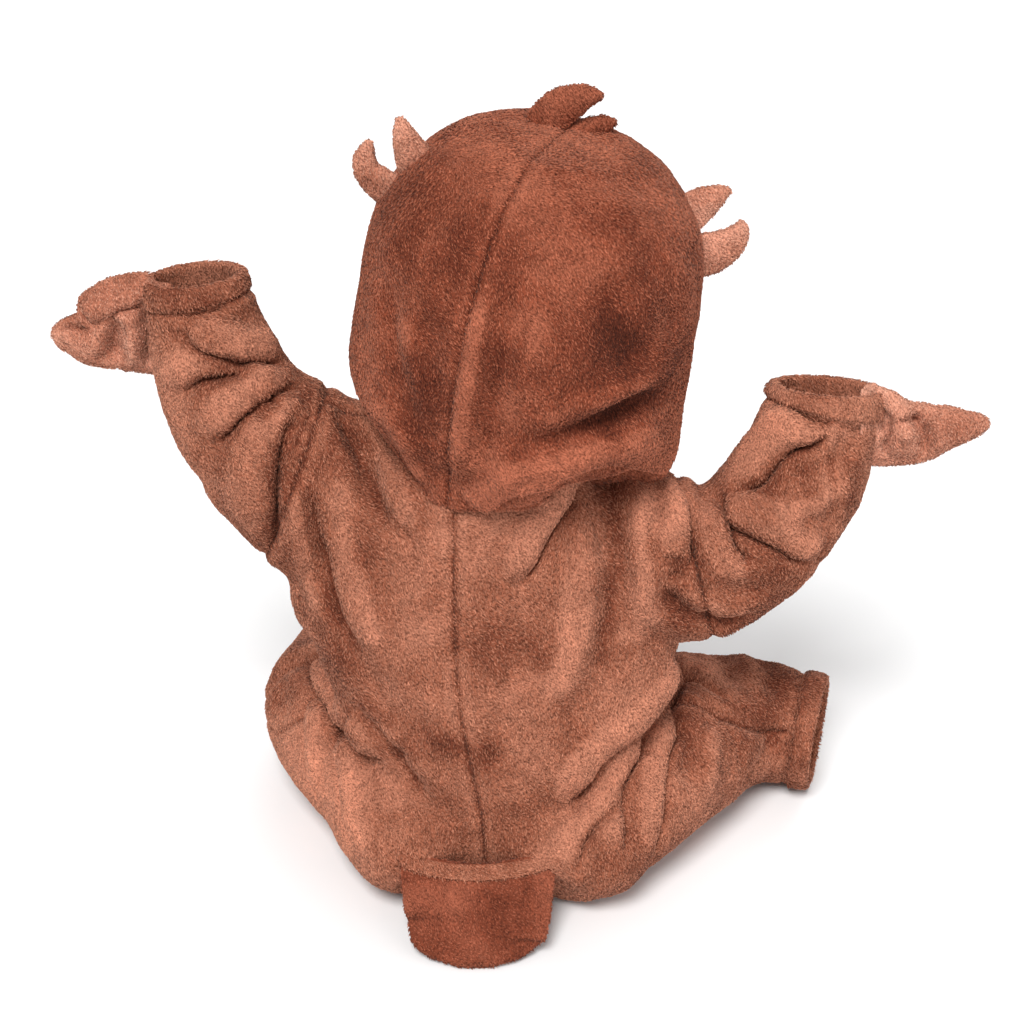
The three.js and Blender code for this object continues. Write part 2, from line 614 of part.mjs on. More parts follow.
const hood = hoodPieces();
add('hood_left', hood.left, PLUSH);
add('hood_right', hood.right, PLUSH);
add('back_left', trunk.intersect(back).intersect(leftOf), PLUSH);
add('back_right', trunk.intersect(back).intersect(rightOf), PLUSH);
add('front_left', trunk.subtract(frontOf).intersect(leftOf), PLUSH);
add('front_right', trunk.subtract(frontOf).intersect(rightOf), PLUSH);
add('sleeve_left', leftSleeve.sleeve, PLUSH);
add('sleeve_right', rightSleeve.sleeve, PLUSH);
add('cuff_left', leftSleeve.band, PLUSH);
add('cuff_right', rightSleeve.band, PLUSH);
add('leg_hem_left', legHem(legLeftForm), PLUSH);
add('leg_hem_right', legHem(legRightForm), PLUSH);

for (const [name, rows] of Object.entries(FEATHERS)) {
  const feather = form({ rows, count: 9, around: 10, frame: limbFrame(FORWARD) });
  add(name, feather.subtract(form(hoodForm, SEAM)), PLUSH_PALE);
}

// a stuffed wing tip, sewn to the sleeve and its cuff
function wing(rows, sleeve) {
  const cuff = station(sleeve, CUFF_AT);
  const besideCuff = form(sleeve, CUFF_PROUD + SEAM)
    .intersect(slab(cuff.point, cuff.axis, -SEAM, CUFF_LENGTH + SEAM, LIMB_REACH));
  return form({ rows, count: 12, around: 12, frame: limbFrame(FORWARD) })
    .subtract(form(sleeve, SEAM))
    .subtract(besideCuff);
}
add('wing_left', wing(WING_LEFT, sleeveLeftForm), PLUSH_PALE);
add('wing_right', wing(WING_RIGHT, sleeveRightForm), PLUSH_PALE);

const skin = bodySolid(SEAM);
const overSkin = bodySolid(SEAM + BAND);
const welt = overSkin
  .subtract(skin)
  .intersect(block(WELT.left, WELT.right, -FAR, TORSO[0].y, WELT.low, WELT.high));
const tail = form({ rows: TAIL, count: 9, around: 18, frame: limbFrame(UP), power: 2.4, floor: 0 })
  .subtract(skin)
  .intersect(block(-FAR, FAR, -FAR, FAR, 0, WELT.low - SEAM));
add('tail_welt', welt, PLUSH);
add('tail', tail, PLUSH);

const [placketLeft, placketRight] = [PLACKET.middle - PLACKET.halfWidth, PLACKET.middle + PLACKET.halfWidth];
const placket = overSkin
  .subtract(skin)
  .intersect(block(placketLeft, placketRight, TORSO[0].y, FAR, PLACKET.low, PLACKET.high));
add('front_placket', placket, PLUSH);

const buttonSeat = bodySolid(2 * SEAM + BAND);
for (let i = 0; i < BUTTON.count; i += 1) {
  const z = THREE.MathUtils.lerp(BUTTON.low, BUTTON.high, i / (BUTTON.count - 1));
  const [low, high] = [frontDepth(z - BUTTON.radius), frontDepth(z + BUTTON.radius)];
  const facing = new THREE.Vector3(0, 2 * BUTTON.radius, low - high).normalize();
  const disc = new THREE.CylinderGeometry(BUTTON.radius, BUTTON.radius, 2 * BUTTON.thickness, BUTTON.sides);
  disc.applyQuaternion(new THREE.Quaternion().setFromUnitVectors(FORWARD, facing));
  disc.translate(PLACKET.middle, frontDepth(z) + BAND, z);
  add(`button_${i + 1}`, toManifold(disc).subtract(buttonSeat), BUTTON_LOOK);
}

group.position.set(-NECK.x, -NECK.y, -NECK.z);

export default group;
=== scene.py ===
"""Baby kigurumi romper: the plush, its creases, seams and stuffed feathers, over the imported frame.

Tables are in millimetres from the floor under the seat; the frame's origin is at the neck.
+X is the wearer's right, +Y the way the wearer faces, +Z up.
"""

import math

import bpy
import numpy as np
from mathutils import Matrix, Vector, noise
from mathutils.bvhtree import BVHTree


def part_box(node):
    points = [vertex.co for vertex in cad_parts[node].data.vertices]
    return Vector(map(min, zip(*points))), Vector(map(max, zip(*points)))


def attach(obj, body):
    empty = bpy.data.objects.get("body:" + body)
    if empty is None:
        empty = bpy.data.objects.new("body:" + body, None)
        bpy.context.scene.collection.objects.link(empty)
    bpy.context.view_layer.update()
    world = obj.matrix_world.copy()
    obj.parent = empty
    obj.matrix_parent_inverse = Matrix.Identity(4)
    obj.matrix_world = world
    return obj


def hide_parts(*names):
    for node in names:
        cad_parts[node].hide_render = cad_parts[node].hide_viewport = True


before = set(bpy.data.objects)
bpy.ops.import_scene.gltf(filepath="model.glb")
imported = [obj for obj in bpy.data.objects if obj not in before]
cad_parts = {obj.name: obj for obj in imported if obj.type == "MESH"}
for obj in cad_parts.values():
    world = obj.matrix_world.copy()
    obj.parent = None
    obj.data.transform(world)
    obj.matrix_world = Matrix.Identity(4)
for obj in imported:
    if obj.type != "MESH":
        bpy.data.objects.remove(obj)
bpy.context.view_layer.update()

# ---- sizes
MM = 0.001
NECK = np.array([14.0, 62.0, 266.0])
WALL = 2.2                    # plush cloth
VOXEL = 2.4
HEAD_ROLL = math.radians(10)  # lean and turn of the hood's centre seam
HEAD_YAW = math.radians(20)
HOOD_CENTRE = np.array([27.0, 82.0, 372.0])
FACE_HALF_WIDTH = 62.0
FACE_HALF_HEIGHT = 80.0
FACE_RISE = -28.0             # centre of the face opening, along the hood's axis from its centre
CUFF_LENGTH = 13.0
LEG_HEM_LENGTH = 14.0
EDGE_PROUD = 2.4              # turned edges stand this far out of the cloth beside them
EDGE_THICK = 4.6
TONGUE = 3.5                  # how far they reach in under that cloth
TUFT_APART = 1.5      # locks of the pile: spacing, length and half width
TUFT_LENGTH, STUFFED_TUFT_LENGTH, TUFT_HALF_WIDTH = 2.6, 2.0, 0.62
NAP_LEAN = np.array([0.45, 0.0, -1.0])  # the way the pile lies
MOST_PRESSED, MOST_RAISED = 15.0, 8.0   # limits where creases meet
# middle, half width and height of parts of a fold, in its own half widths and depths
ROLL_TROUGH, ROLL_RIDGE, ROLL_OVERHANG = (0.45, 0.7, 1.0), (-0.95, 1.1, -0.6), (-0.3, 0.75, 0.75)
CREASE_LIPS, ROLL_END = (2.0, 1.0, -0.3), 3.0
CREASE_TAPER = 0.25           # share of a crease over which each end fades
SAME_SIDE = -0.2, 0.4         # a crease fades out where the cloth turns away from it by this much
RAYS_FROM = 900.0             # creases are cast on to the cloth from this far out
FAR = 99.0                    # distance that stands for nowhere near a seam
WELT_LOW, WELT_HIGH, WELT_LEFT, WELT_RIGHT = 47.0, 53.5, -46.0, 49.0
PLACKET_LOW, PLACKET_HIGH, PLACKET_MIDDLE, PLACKET_HALF_WIDTH = 100.0, 246.0, -9.0, 11.0
BUTTON_COUNT, BUTTON_AROUND = 5, 40
# radius and height of a button's rings from face to back, and the height of its two middles
BUTTON_PROFILE = [(2.6, 0.9), (4.6, 1.0), (5.3, 1.7), (6.2, 1.9), (6.9, 1.4), (7.0, 0.6), (6.6, -0.6)]
BUTTON_POLES = (0.9, -0.6)
WELT_THICK, PLACKET_THICK = 2.2, 1.7
STRIP_PROUD, STRIP_SUNK = 0.25, 0.8      # a strip's edge over the cloth, and its underside in it
STRIP_SQUARE = 3.5            # how square a strip's section is, from 2 for a round one
CAST_FROM = 400.0             # strips are cast on to the cloth from this far out
EDGE_SECTIONS, EDGE_WAVE = 401, 0.9      # turned edges: steps along the limb, unevenness
# groove at a seam, the puffs beside it, and the shade painted into the groove and the light painted on to
# the puffs beside it
SEAM_HALF_WIDTH, SEAM_PUFFS = 2.4, (7.2, 3.6, -0.5)
SEAM_PAINTED_SHADE, SEAM_PAINTED_LIGHT = (0, 1.1, -0.16), (5.0, 2.5, 0.06)
RIM_WIDTH = 0.16              # of a padded piece's edge seam, as a sine of the way round
OFF_FLOOR = 0.3               # lowest that cloth on the floor comes
LAP, FLAP_LAP = 5.0, 13.0     # how far the back goes on up under the hood's edge, and more under the flap
# soft unevenness: height, size, seed and octaves
BODY_SWELLS = [(1.1, 42.0, 3.0, 3), (0.45, 14.0, 8.0, 2)]
HOOD_SWELLS = [(1.0, 48.0, 21.0, 3), (0.4, 15.0, 5.0, 2)]
STUFFED_SWELLS = [(0.35, 9.0, 11.0, 2)]
TROUGH_PAINTED_SHADE, RIDGE_PAINTED_LIGHT = 0.20, 0.18     # how much shade is painted into crease troughs and light on to their ridges
TROUGH_OVER, RIDGE_OVER = (1.5, 8.0), (0.8, 3.5)     # depth and height where that starts and is full
SEEN = -0.1, 0.3              # share of facing the camera over which a patch, of brushed nap and of painted shade and light, fades in
NAP_DRIFT = (34.0, 5, 1)      # size, seed and octaves of the nap's slow turns
PILE_SEED = 5
LEAF_PAINTED_SHADE_AND_LIGHT = np.array([-0.42, -0.42, 0.08, 0.40])   # how much paler each lock is painted at its two roots, crown and tip: painted shade at the roots, painted highlight at the tip
TUFT_SHADES = 0.07            # how unevenly the locks are dyed
DRIFT_TURN, STRAY_TURN = 1.1, 0.30    # radians that the nap's drift and a stray lock turn by
TUFT_WIDTHS = 0.7, 1.3        # least and most share of the half width, and of the length
TUFT_LENGTHS = 0.65, 1.3
TUFT_RISE = 0.12, 0.38        # sine of the angle that a lock stands off the cloth at
TUFT_ROOTED, TUFT_CROWN = 0.3, 0.7    # how deep its foot is and how high its fold
BEND_SCALE = 38.0             # scale of the noise that bends the others
FLOOR_REACH, WORLD_STRENGTH = 6.0, 0.42

# ---- camera
IMAGE = 1024
LENS_MM, SENSOR_MM = 91.0, 36.0
CAMERA_TARGET = np.array([21.0, 60.0, 233.0])
CAMERA_DISTANCE = 1500.0
CAMERA_RISE = math.radians(30)
FOCAL_PX = LENS_MM / SENSOR_MM * IMAGE
LOOK = np.array([0.0, math.cos(CAMERA_RISE), -math.sin(CAMERA_RISE)])
LOOK_UP = np.array([0.0, math.sin(CAMERA_RISE), math.cos(CAMERA_RISE)])
LOOK_RIGHT = np.array([1.0, 0.0, 0.0])
CAMERA_AT = CAMERA_TARGET - CAMERA_DISTANCE * LOOK

# ---- section tables
# x, y, z of the centre, half width a, half depth b, roll in degrees
TORSO = [
    (4, 52, 0, 40, 50, 0), (5, 54, 14, 53, 67, 0), (9, 58, 40, 62, 73, 0), (12, 62, 70, 76, 76, 0),
    (12, 65, 100, 92, 77, 2), (12, 67, 130, 106, 75, 4), (6, 68, 165, 116, 70, 6),
    (6, 68, 198, 112, 64, 9), (7, 67, 226, 104, 57, 12), (9, 66, 248, 84, 50, 14),
    (11, 64, 262, 62, 44, 15), (14, 62, 274, 50, 40, 15), (17, 61, 290, 48, 38, 15),
]
HOOD = [
    (4, 58, 252, 44, 45, 14), (10, 61, 262, 56, 51, 14), (22, 67, 275, 82, 62, 14),
    (22, 73, 292, 95, 78, 14), (24, 77, 316, 97, 88, 14), (28, 80, 342, 96, 94, 14),
    (32, 82, 369, 95, 96, 14), (38, 84, 395, 92, 92, 14), (44, 86, 419, 82, 82, 13),
    (47, 88, 439, 64, 65, 11), (48, 89, 451, 38, 42, 10),
]
# x, y, z of the centre line, half width a, half depth b
SLEEVE_LEFT = [
    (-40, 70, 205, 40, 30), (-64, 70, 221, 55, 38), (-89, 72, 243, 55, 42), (-114, 74, 266, 49, 41),
    (-136, 80, 291, 41, 37), (-151, 88, 325, 35, 33), (-158, 94, 358, 28, 27), (-160, 97, 378, 26, 25),
]
SLEEVE_RIGHT = [
    (48, 66, 210, 38, 28), (78, 65, 206, 53, 37), (106, 63, 200, 53, 41), (134, 63, 198, 46, 40),
    (163, 67, 215, 41, 37), (189, 78, 250, 38, 35), (202, 90, 290, 32, 30), (203, 96, 312, 29, 28),
]
LEG_LEFT = [
    (-28, -15, 25, 20, 20), (-34, -3, 33, 37, 33), (-40, 24, 41, 47, 42), (-50, 58, 48, 51, 48),
    (-70, 92, 50, 52, 50), (-86, 124, 48, 49, 48), (-88, 156, 45, 45, 45), (-74, 188, 42, 39, 41),
    (-55, 212, 39, 34, 37), (-45, 228, 38, 33, 36),
]
LEG_RIGHT = [
    (43, -20, 24, 27, 23), (48, -7, 32, 47, 33), (58, 20, 40, 56, 41), (78, 50, 46, 61, 46),
    (102, 80, 48, 61, 48), (128, 104, 46, 56, 46), (154, 120, 43, 49, 42), (180, 126, 40, 41, 38),
    (202, 122, 38, 35, 35), (218, 118, 37, 34, 34),
]
CUFF_AT = 0.84                # share of the sleeve's sections at which the cuff starts
HEM_AT = 0.89

# feathers, wing tips and tail: centre line, half width a, half thickness b
FEATHERS = {
    "crest_large": [
        (36, 112, 441, 11, 4.5), (40, 112, 452, 12, 5), (47, 111, 461, 11.3, 5),
        (54, 109, 466, 10, 5), (60, 107, 469.5, 7.6, 4.5), (66, 105, 471, 4.8, 3.5),
        (70.5, 104, 471.5, 1.8, 1.4)],
    "crest_small": [
        (50, 112, 440, 6, 4), (56, 112, 444.5, 6.5, 4.5), (62, 112, 448, 6.6, 4.5),
        (69, 113, 450, 6.2, 4), (74, 113, 451.5, 4.8, 3.2), (78.5, 112, 452.5, 1.7, 1.3)],
    "tuft_left_upper": [
        (-28, 88, 430, 11, 4.5), (-32, 88, 440, 11, 4.8), (-35.5, 88, 448, 8.8, 4.6),
        (-38, 88, 455, 6.2, 4), (-39.5, 88, 460.5, 4.2, 3), (-40.5, 88, 464.5, 1.6, 1.3)],
    "tuft_left_lower": [
        (-38, 90, 415, 10.5, 4.8), (-46, 90, 421, 10, 5), (-53, 90, 426.5, 9.2, 5),
        (-58.5, 90, 432.5, 7.8, 4.6), (-60, 90, 439.5, 6.4, 4), (-58.8, 90, 445.5, 4.3, 3.2),
        (-57, 90, 450.5, 1.7, 1.3)],
    "tuft_right_upper": [
        (108, 94, 396, 13, 4.8), (117, 94, 404, 12.4, 5), (124, 94, 409.5, 10.8, 5),
        (131, 94, 414, 8.4, 4.5), (137, 94, 417.5, 5.4, 3.6), (142, 94, 420, 1.9, 1.4)],
    "tuft_right_lower": [
        (112, 96, 379, 13.5, 4.8), (122, 96, 378.5, 13.6, 5), (132, 96, 380.5, 13, 5),
        (140, 96, 384.5, 11, 4.6), (146, 96, 390, 8.2, 4), (149, 96, 396, 5, 3.2),
        (149.5, 96, 400.5, 1.8, 1.3)],
}
WING_LEFT = [
    (-166, 90, 338, 32, 8), (-182, 90, 339.5, 32, 9), (-197, 91, 338.5, 31, 9),
    (-209, 91, 335.5, 27.5, 9), (-217, 91, 332.5, 23, 8.5), (-223, 92, 331, 18, 8),
    (-230, 92, 331.5, 12.5, 7), (-237, 92, 332.5, 8.5, 5.5), (-241.5, 92, 333, 3, 2.5)]
WING_RIGHT = [
    (210, 84, 278, 26, 8), (228, 84, 276, 26, 8.5), (240, 84, 273, 23, 8.5),
    (251, 84, 272, 20.7, 8), (261, 84, 273, 18.6, 7.5), (271, 84, 275, 14.6, 7),
    (282, 84, 276.5, 10.5, 6), (291, 84, 278, 7, 4.6), (297, 84, 278.5, 2.6, 2.2)]
TAIL = [(1, -25, 52, 45, 2.6), (1, -32, 44, 45.5, 3.6), (1, -40, 32, 44, 3.8), (1, -47, 20, 42, 3.8),
        (0, -54, 11, 39, 3.6), (0, -62, 5.4, 29, 3.4), (0, -69, 3.9, 11, 2.8)]
TAIL_SAG, TAIL_HALF_WIDTH = 9.0, 46.0    # how far its upper edge hangs in the middle

# ---- creases
# by the view they are drawn in: depth (a ridge is negative) and half width in mm, roll, points.
# roll 1 is a fold that rolls over: a ridge on the left of the way along it and a trough on the right.
# "back" points are pixels of the 1024 frame, cast from the camera on to the cloth;
# the other views are looked at squarely, with points in mm: front and back x z, sides y z, top x y
HOOD_CREASES = {"back": [
    # the flap that hangs over the right shoulder, and the roll above it
    (13.0, 6, 1, [(470, 508), (482, 502), (495, 492), (519, 480), (550, 472), (584, 464)]),
    (4.0, 4, 1, [(496, 508), (530, 503), (553, 492), (578, 478)]),
    (-7.0, 11, 0, [(500, 482), (540, 466), (585, 452), (625, 446), (672, 448), (700, 446)]),
    (8.0, 8, 0, [(524, 456), (560, 442), (600, 426), (640, 406), (684, 386), (704, 376)]),
    (-3.5, 8, 0, [(560, 410), (600, 396), (630, 384), (660, 376)]),
    (5.0, 20, 0, [(596, 270), (610, 310), (632, 346), (664, 368)]),
    # gathers that run down to the neck
    (4.0, 8, 0, [(520, 280), (500, 350), (486, 420), (476, 486)]),
    (3.0, 9, 0, [(424, 310), (426, 380), (434, 470)]),
    (3.6, 8, 0, [(384, 290), (396, 350), (420, 440)]),
    (-3.0, 7, 0, [(486, 290), (470, 380), (458, 480)]),
    (-2.4, 8, 0, [(408, 300), (414, 380), (428, 450)]),
    # the hood's edge over the collar roll
    (-3.5, 8, 0, [(362, 396), (392, 420), (412, 456), (430, 490)]),
    (2.2, 10, 0, [(366, 262), (392, 290), (410, 330)]),
    (2.6, 10, 0, [(640, 250), (668, 300), (676, 350)]),
    (2.2, 9, 0, [(560, 480), (520, 440), (500, 380)]),
    (1.8, 12, 0, [(470, 170), (430, 220), (410, 280)]),
], "left": [
    (3.0, 9, 0, [(40, 300), (70, 330), (90, 380)]),
    (4.0, 8, 1, [(50, 282), (100, 298), (140, 336)]),
], "right": [
    (3.2, 9, 0, [(50, 280), (80, 320), (88, 370)]),
    (4.0, 8, -1, [(70, 268), (110, 288), (140, 332)]),
], "front": [
    (2.4, 9, 0, [(-40, 400), (-20, 425), (10, 436)]),
    (2.6, 8, 0, [(90, 300), (78, 320), (84, 350)]),
]}
BODY_CREASES = {"back": [
    # collar and shoulders
    (-6.0, 8, 0, [(344, 396), (366, 414), (382, 446), (394, 482), (404, 516), (408, 540)]),
    (5.0, 5, 0, [(334, 408), (354, 436), (368, 470), (380, 504), (392, 548)]),
    (2.4, 5, 0, [(394, 500), (403, 525), (413, 560), (415, 600)]),
    (6.0, 9, 1, [(316, 464), (322, 500), (331, 550), (346, 610), (372, 660)]),
    (-4.0, 9, 0, [(296, 470), (300, 520), (312, 580), (336, 640)]),
    (8.5, 7, 1, [(512, 590), (530, 556), (545, 527), (568, 494), (592, 464)]),
    (3.4, 7, 0, [(603, 473), (611, 492), (616, 530)]),
    (6.5, 6, 1, [(678, 584), (684, 545), (684, 515), (680, 478)]),
    (4.5, 5, 0, [(657, 474), (659, 506), (652, 537), (658, 565), (665, 590), (676, 620)]),
    (6.5, 4, 0, [(668, 552), (672, 566), (675, 586)]),
    (5.0, 11, 0, [(616, 500), (622, 560), (614, 620), (590, 680)]),
    (-4.5, 9, 0, [(640, 496), (644, 550), (636, 610), (612, 670)]),
    (2.8, 10, 0, [(338, 628), (354, 653), (380, 694), (421, 728)]),
    (3.0, 6, 0, [(430, 716), (410, 742), (396, 764)]),
    (2.4, 11, 0, [(640, 610), (600, 670), (560, 740)]),
    (2.0, 9, 0, [(520, 640), (510, 720), (500, 800)]),
    (-3.6, 12, 0, [(572, 560), (574, 640), (556, 710)]),
    (2.2, 9, 0, [(400, 560), (392, 610), (400, 670)]),
    (-2.0, 10, 0, [(350, 560), (366, 610), (390, 650)]),
    # right hip and leg
    (12.5, 8, 1, [(560, 820), (576, 788), (589, 764), (604, 749), (637, 723), (648, 710), (672, 682),
                  (692, 660)]),
    (8.5, 6, 1, [(623, 855), (619, 836), (613, 806), (613, 788), (622, 768), (635, 740), (648, 712)]),
    (8.0, 6, 1, [(647, 880), (653, 851), (656, 818), (658, 786), (661, 753), (670, 727), (673, 698)]),
    (6.5, 6, 1, [(571, 880), (573, 853), (578, 836), (594, 816), (615, 786)]),
    (5.0, 7, 1, [(668, 668), (690, 672), (712, 684), (734, 704)]),
    (3.0, 8, 0, [(684, 720), (690, 750), (686, 790)]),
    (-2.4, 8, 0, [(706, 724), (712, 760), (706, 800)]),
    (2.6, 8, 0, [(786, 730), (762, 758), (738, 794)]),
    (3.0, 6, 0, [(598, 850), (600, 874), (592, 900)]),
    # left hip and leg
    (11.0, 7, 1, [(306, 646), (321, 678), (335, 698), (354, 723), (371, 746), (392, 766)]),
    (6.0, 7, 0, [(350, 704), (371, 728), (388, 749), (400, 767), (415, 785), (430, 812)]),
    (7.5, 5, 1, [(324, 680), (313, 703), (310, 728), (311, 761), (315, 783), (326, 814)]),
    (7.0, 5, 1, [(331, 690), (339, 723), (343, 761), (346, 794), (350, 827), (356, 856)]),
    (3.0, 4, 0, [(340, 706), (351, 733), (363, 753), (378, 774)]),
    (3.0, 9, 0, [(376, 790), (384, 826), (392, 860)]),
    (2.4, 7, 0, [(286, 672), (282, 696), (292, 716)]),
    # left sleeve
    (4.0, 6, 0, [(153, 294), (170, 302), (206, 311), (243, 321), (268, 338)]),
    (11.5, 7, 1, [(182, 322), (206, 338), (234, 344), (262, 350), (288, 362)]),
    (8.1, 8, 1, [(168, 398), (188, 374), (206, 368), (234, 364), (258, 361)]),
    (10.8, 7, 1, [(212, 452), (217, 429), (227, 416), (240, 403), (256, 389), (279, 381), (310, 381)]),
    (5.4, 5, 1, [(250, 418), (262, 403), (274, 391)]),
    (9.5, 8, 1, [(266, 560), (263, 518), (264, 473), (271, 429), (282, 412), (308, 388)]),
    (5.4, 7, 1, [(288, 450), (296, 424), (312, 400)]),
    (-3.0, 9, 0, [(238, 520), (236, 470), (248, 430)]),
    # right sleeve
    (5.0, 6, 0, [(756, 400), (790, 402), (830, 410), (862, 418)]),
    (13.5, 9, 1, [(730, 496), (748, 474), (767, 450), (786, 434), (815, 428), (838, 430)]),
    (3.5, 16, 0, [(790, 480), (815, 465), (836, 448)]),
    (-4.5, 7, 0, [(717, 490), (738, 494), (767, 507), (786, 512), (805, 507), (834, 488), (856, 468)]),
    (8.8, 7, 1, [(722, 506), (732, 514), (757, 528), (782, 541), (807, 556), (828, 558)]),
    (9.5, 6, 1, [(752, 566), (734, 562), (723, 545), (717, 522), (711, 490)]),
    (7.0, 6, 0, [(661, 584), (667, 598), (681, 611), (702, 621), (722, 624), (740, 620), (768, 608)]),
    (3.5, 7, 0, [(862, 420), (848, 440), (842, 470)]),
    (3.0, 7, 0, [(714, 580), (742, 592), (776, 590)]),
], "front": [
    (6.0, 7, 1, [(-62, 128), (-20, 118), (16, 120), (60, 114), (96, 126)]),
    (4.0, 8, 0, [(-46, 152), (-14, 146), (30, 150), (70, 144)]),
    (3.0, 9, 0, [(-96, 186), (-60, 208), (-30, 216)]),
    (3.6, 9, 0, [(106, 172), (80, 198), (46, 214)]),
    (5.0, 7, 1, [(-86, 168), (-84, 200), (-104, 230)]),
    (5.0, 7, -1, [(98, 146), (102, 170), (122, 198)]),
    (5.0, 7, 0, [(-112, 60), (-96, 78), (-60, 84)]),
    (3.0, 8, 0, [(-30, 232), (-10, 200), (-20, 170)]),
    (6.5, 6, 1, [(-184, 332), (-150, 322), (-118, 312)]),
    (5.5, 6, 1, [(-172, 298), (-140, 288), (-104, 300)]),
    (4.0, 6, 0, [(-140, 262), (-118, 258), (-96, 270)]),
    (6.5, 7, 1, [(166, 240), (196, 250), (226, 264)]),
    (5.5, 6, 1, [(142, 244), (172, 222), (200, 212)]),
    (4.0, 6, 0, [(120, 226), (138, 196), (150, 170)]),
], "top": [
    (5.5, 7, 1, [(-108, 116), (-84, 136), (-48, 140)]),
    (4.5, 7, 0, [(-116, 158), (-84, 172), (-50, 170)]),
    (4.0, 6, 1, [(-96, 198), (-70, 192), (-44, 172)]),
    (5.5, 7, 1, [(122, 146), (116, 116), (92, 90)]),
    (4.5, 7, 0, [(148, 90), (158, 122), (150, 154)]),
    (3.6, 6, 0, [(178, 100), (184, 124), (178, 150)]),
], "left": [
    (4.5, 7, 0, [(40, 164), (60, 130), (66, 100)]),
    (4.0, 7, 1, [(14, 124), (36, 96), (42, 66)]),
    (4.0, 7, 0, [(120, 96), (128, 70), (120, 40)]),
    (4.0, 6, 0, [(60, 262), (72, 240), (86, 226)]),
], "right": [
    (4.5, 7, 0, [(44, 154), (64, 126), (70, 96)]),
    (4.0, 7, 0, [(60, 90), (84, 66), (92, 36)]),
]}
WING_CREASES = {"back": [
    (7.0, 5, 1, [(84, 298), (88, 308), (95, 316), (101, 324)]),
    (5.0, 4, 1, [(100, 318), (114, 306), (129, 303), (146, 294)]),
    (7.0, 7, 0, [(119, 316), (114, 334), (113, 348), (122, 366)]),
    (-4.0, 5, 0, [(128, 308), (131, 336), (137, 366)]),
    (7.0, 5, 0, [(144, 300), (149, 336), (154, 372)]),
    (-4.0, 5, 0, [(97, 356), (103, 334), (114, 318)]),
    (3.5, 3, 0, [(58, 327), (77, 330), (99, 332)]),
    (2.0, 4, 0, [(104, 276), (122, 284), (140, 282)]),
    (5.0, 4, 1, [(868, 394), (891, 406), (899, 423), (893, 442), (884, 458)]),
    (5.0, 4, 0, [(880, 405), (887, 422), (885, 438)]),
    (5.5, 4, 0, [(916, 398), (918, 421), (924, 436), (922, 464)]),
    (4.0, 3, 0, [(898, 420), (910, 421), (922, 423)]),
    (-2.0, 6, 0, [(902, 430), (906, 444), (904, 458)]),
], "front": [
    (4.0, 5, 0, [(-210, 350), (-196, 336), (-190, 316)]),
    (3.0, 4, 0, [(-226, 338), (-208, 330), (-184, 332)]),
    (3.5, 4, 0, [(250, 296), (252, 276), (248, 256)]),
    (2.4, 4, 0, [(262, 284), (276, 278), (286, 280)]),
]}
# the hood's lower edge as the camera sees it, over the collar on the left and the flap on the right
HOOD_EDGE = [
    (300, 424), (350, 412), (368, 420), (386, 442), (402, 472), (424, 498), (447, 510), (462, 513),
    (523, 513), (541, 508), (560, 490), (585, 470), (613, 465), (656, 473), (700, 480),
]
EDGE_BACK_OF, EDGE_SLOPE = 50.0, 2.0   # farther forward than this the edge comes down to the neck again
FLAP_FROM = (545, 580)        # pixels across, where the flap begins
TUCK = 16.0                   # how far the cloth goes in under that edge
TUCK_OVER = -1.5, 7.0         # from how far above that edge to how far below it
UNDER_HOOD = 3.4              # how deep under the hood's cloth the body's is cut away
# brushed patches of nap, and patches of painted shade and light, as the camera sees them: pixel x and y of
# the middle, radius, how much paler
NAP_AND_SHADE_PATCHES = [
    (400, 300, 60, -0.10), (375, 380, 30, -0.06), (520, 330, 26, 0.14), (500, 410, 26, 0.18),
    (470, 450, 24, 0.12), (625, 330, 42, -0.08), (640, 230, 50, -0.08), (590, 250, 30, 0.04),
    (560, 150, 40, 0.05), (600, 440, 36, -0.08), (350, 560, 36, -0.03), (222, 420, 40, -0.10),
    (640, 350, 60, -0.04), (430, 620, 40, 0.08), (520, 610, 50, 0.13), (485, 150, 40, 0.10),
    (487, 757, 20, -0.24), (450, 746, 14, -0.14), (346, 606, 24, -0.12), (368, 556, 20, -0.10),
    (540, 780, 40, 0.05), (640, 620, 36, 0.10), (620, 510, 26, -0.10), (300, 790, 50, 0.28),
    (350, 830, 40, 0.10), (700, 740, 60, 0.02), (620, 840, 40, 0.02), (210, 300, 40, -0.02),
    (262, 470, 40, -0.10), (800, 490, 50, -0.08), (760, 410, 40, 0.04), (690, 560, 30, -0.10),
]
TAIL_CREASES = {"back": [
    (1.0, 9, 0, [(440, 880), (436, 900), (444, 925)]),
    (0.8, 9, 0, [(520, 884), (522, 904), (512, 924)]),
]}


# ---- forms
def smooth_rows(rows, count):
    """Catmull-Rom through the rows of a table."""
    table = np.array(rows, float)
    last = len(table) - 1
    s = np.linspace(0, last, count)
    k = np.minimum(s.astype(int), last - 1)
    t = (s - k)[:, None]
    p0, p1, p2, p3 = (table[np.clip(k + n, 0, last)] for n in (-1, 0, 1, 2))
    cubic = 3 * p1 - p0 - 3 * p2 + p3
    square = 2 * p0 - 5 * p1 + 4 * p2 - p3
    return 0.5 * (2 * p1 + t * (p2 - p0 + t * (square + t * cubic)))


def unit(v):
    return v / np.maximum(np.linalg.norm(v, axis=-1, keepdims=True), 1e-12)


def level_frames(sections):
    roll = np.radians(sections[:, 5])
    zero = np.zeros_like(roll)
    wide = np.stack([np.cos(roll), zero, -np.sin(roll)], -1)
    deep = np.tile([0.0, 1.0, 0.0], (len(sections), 1))
    return wide, deep


def limb_frames(sections, flat):
    centres = sections[:, :3]
    along = np.empty_like(centres)
    along[1:-1] = centres[2:] - centres[:-2]
    along[0] = centres[1] - centres[0]
    along[-1] = centres[-1] - centres[-2]
    along = unit(along)
    wide = unit(np.cross(np.array(flat, float), along))
    return wide, np.cross(along, wide)


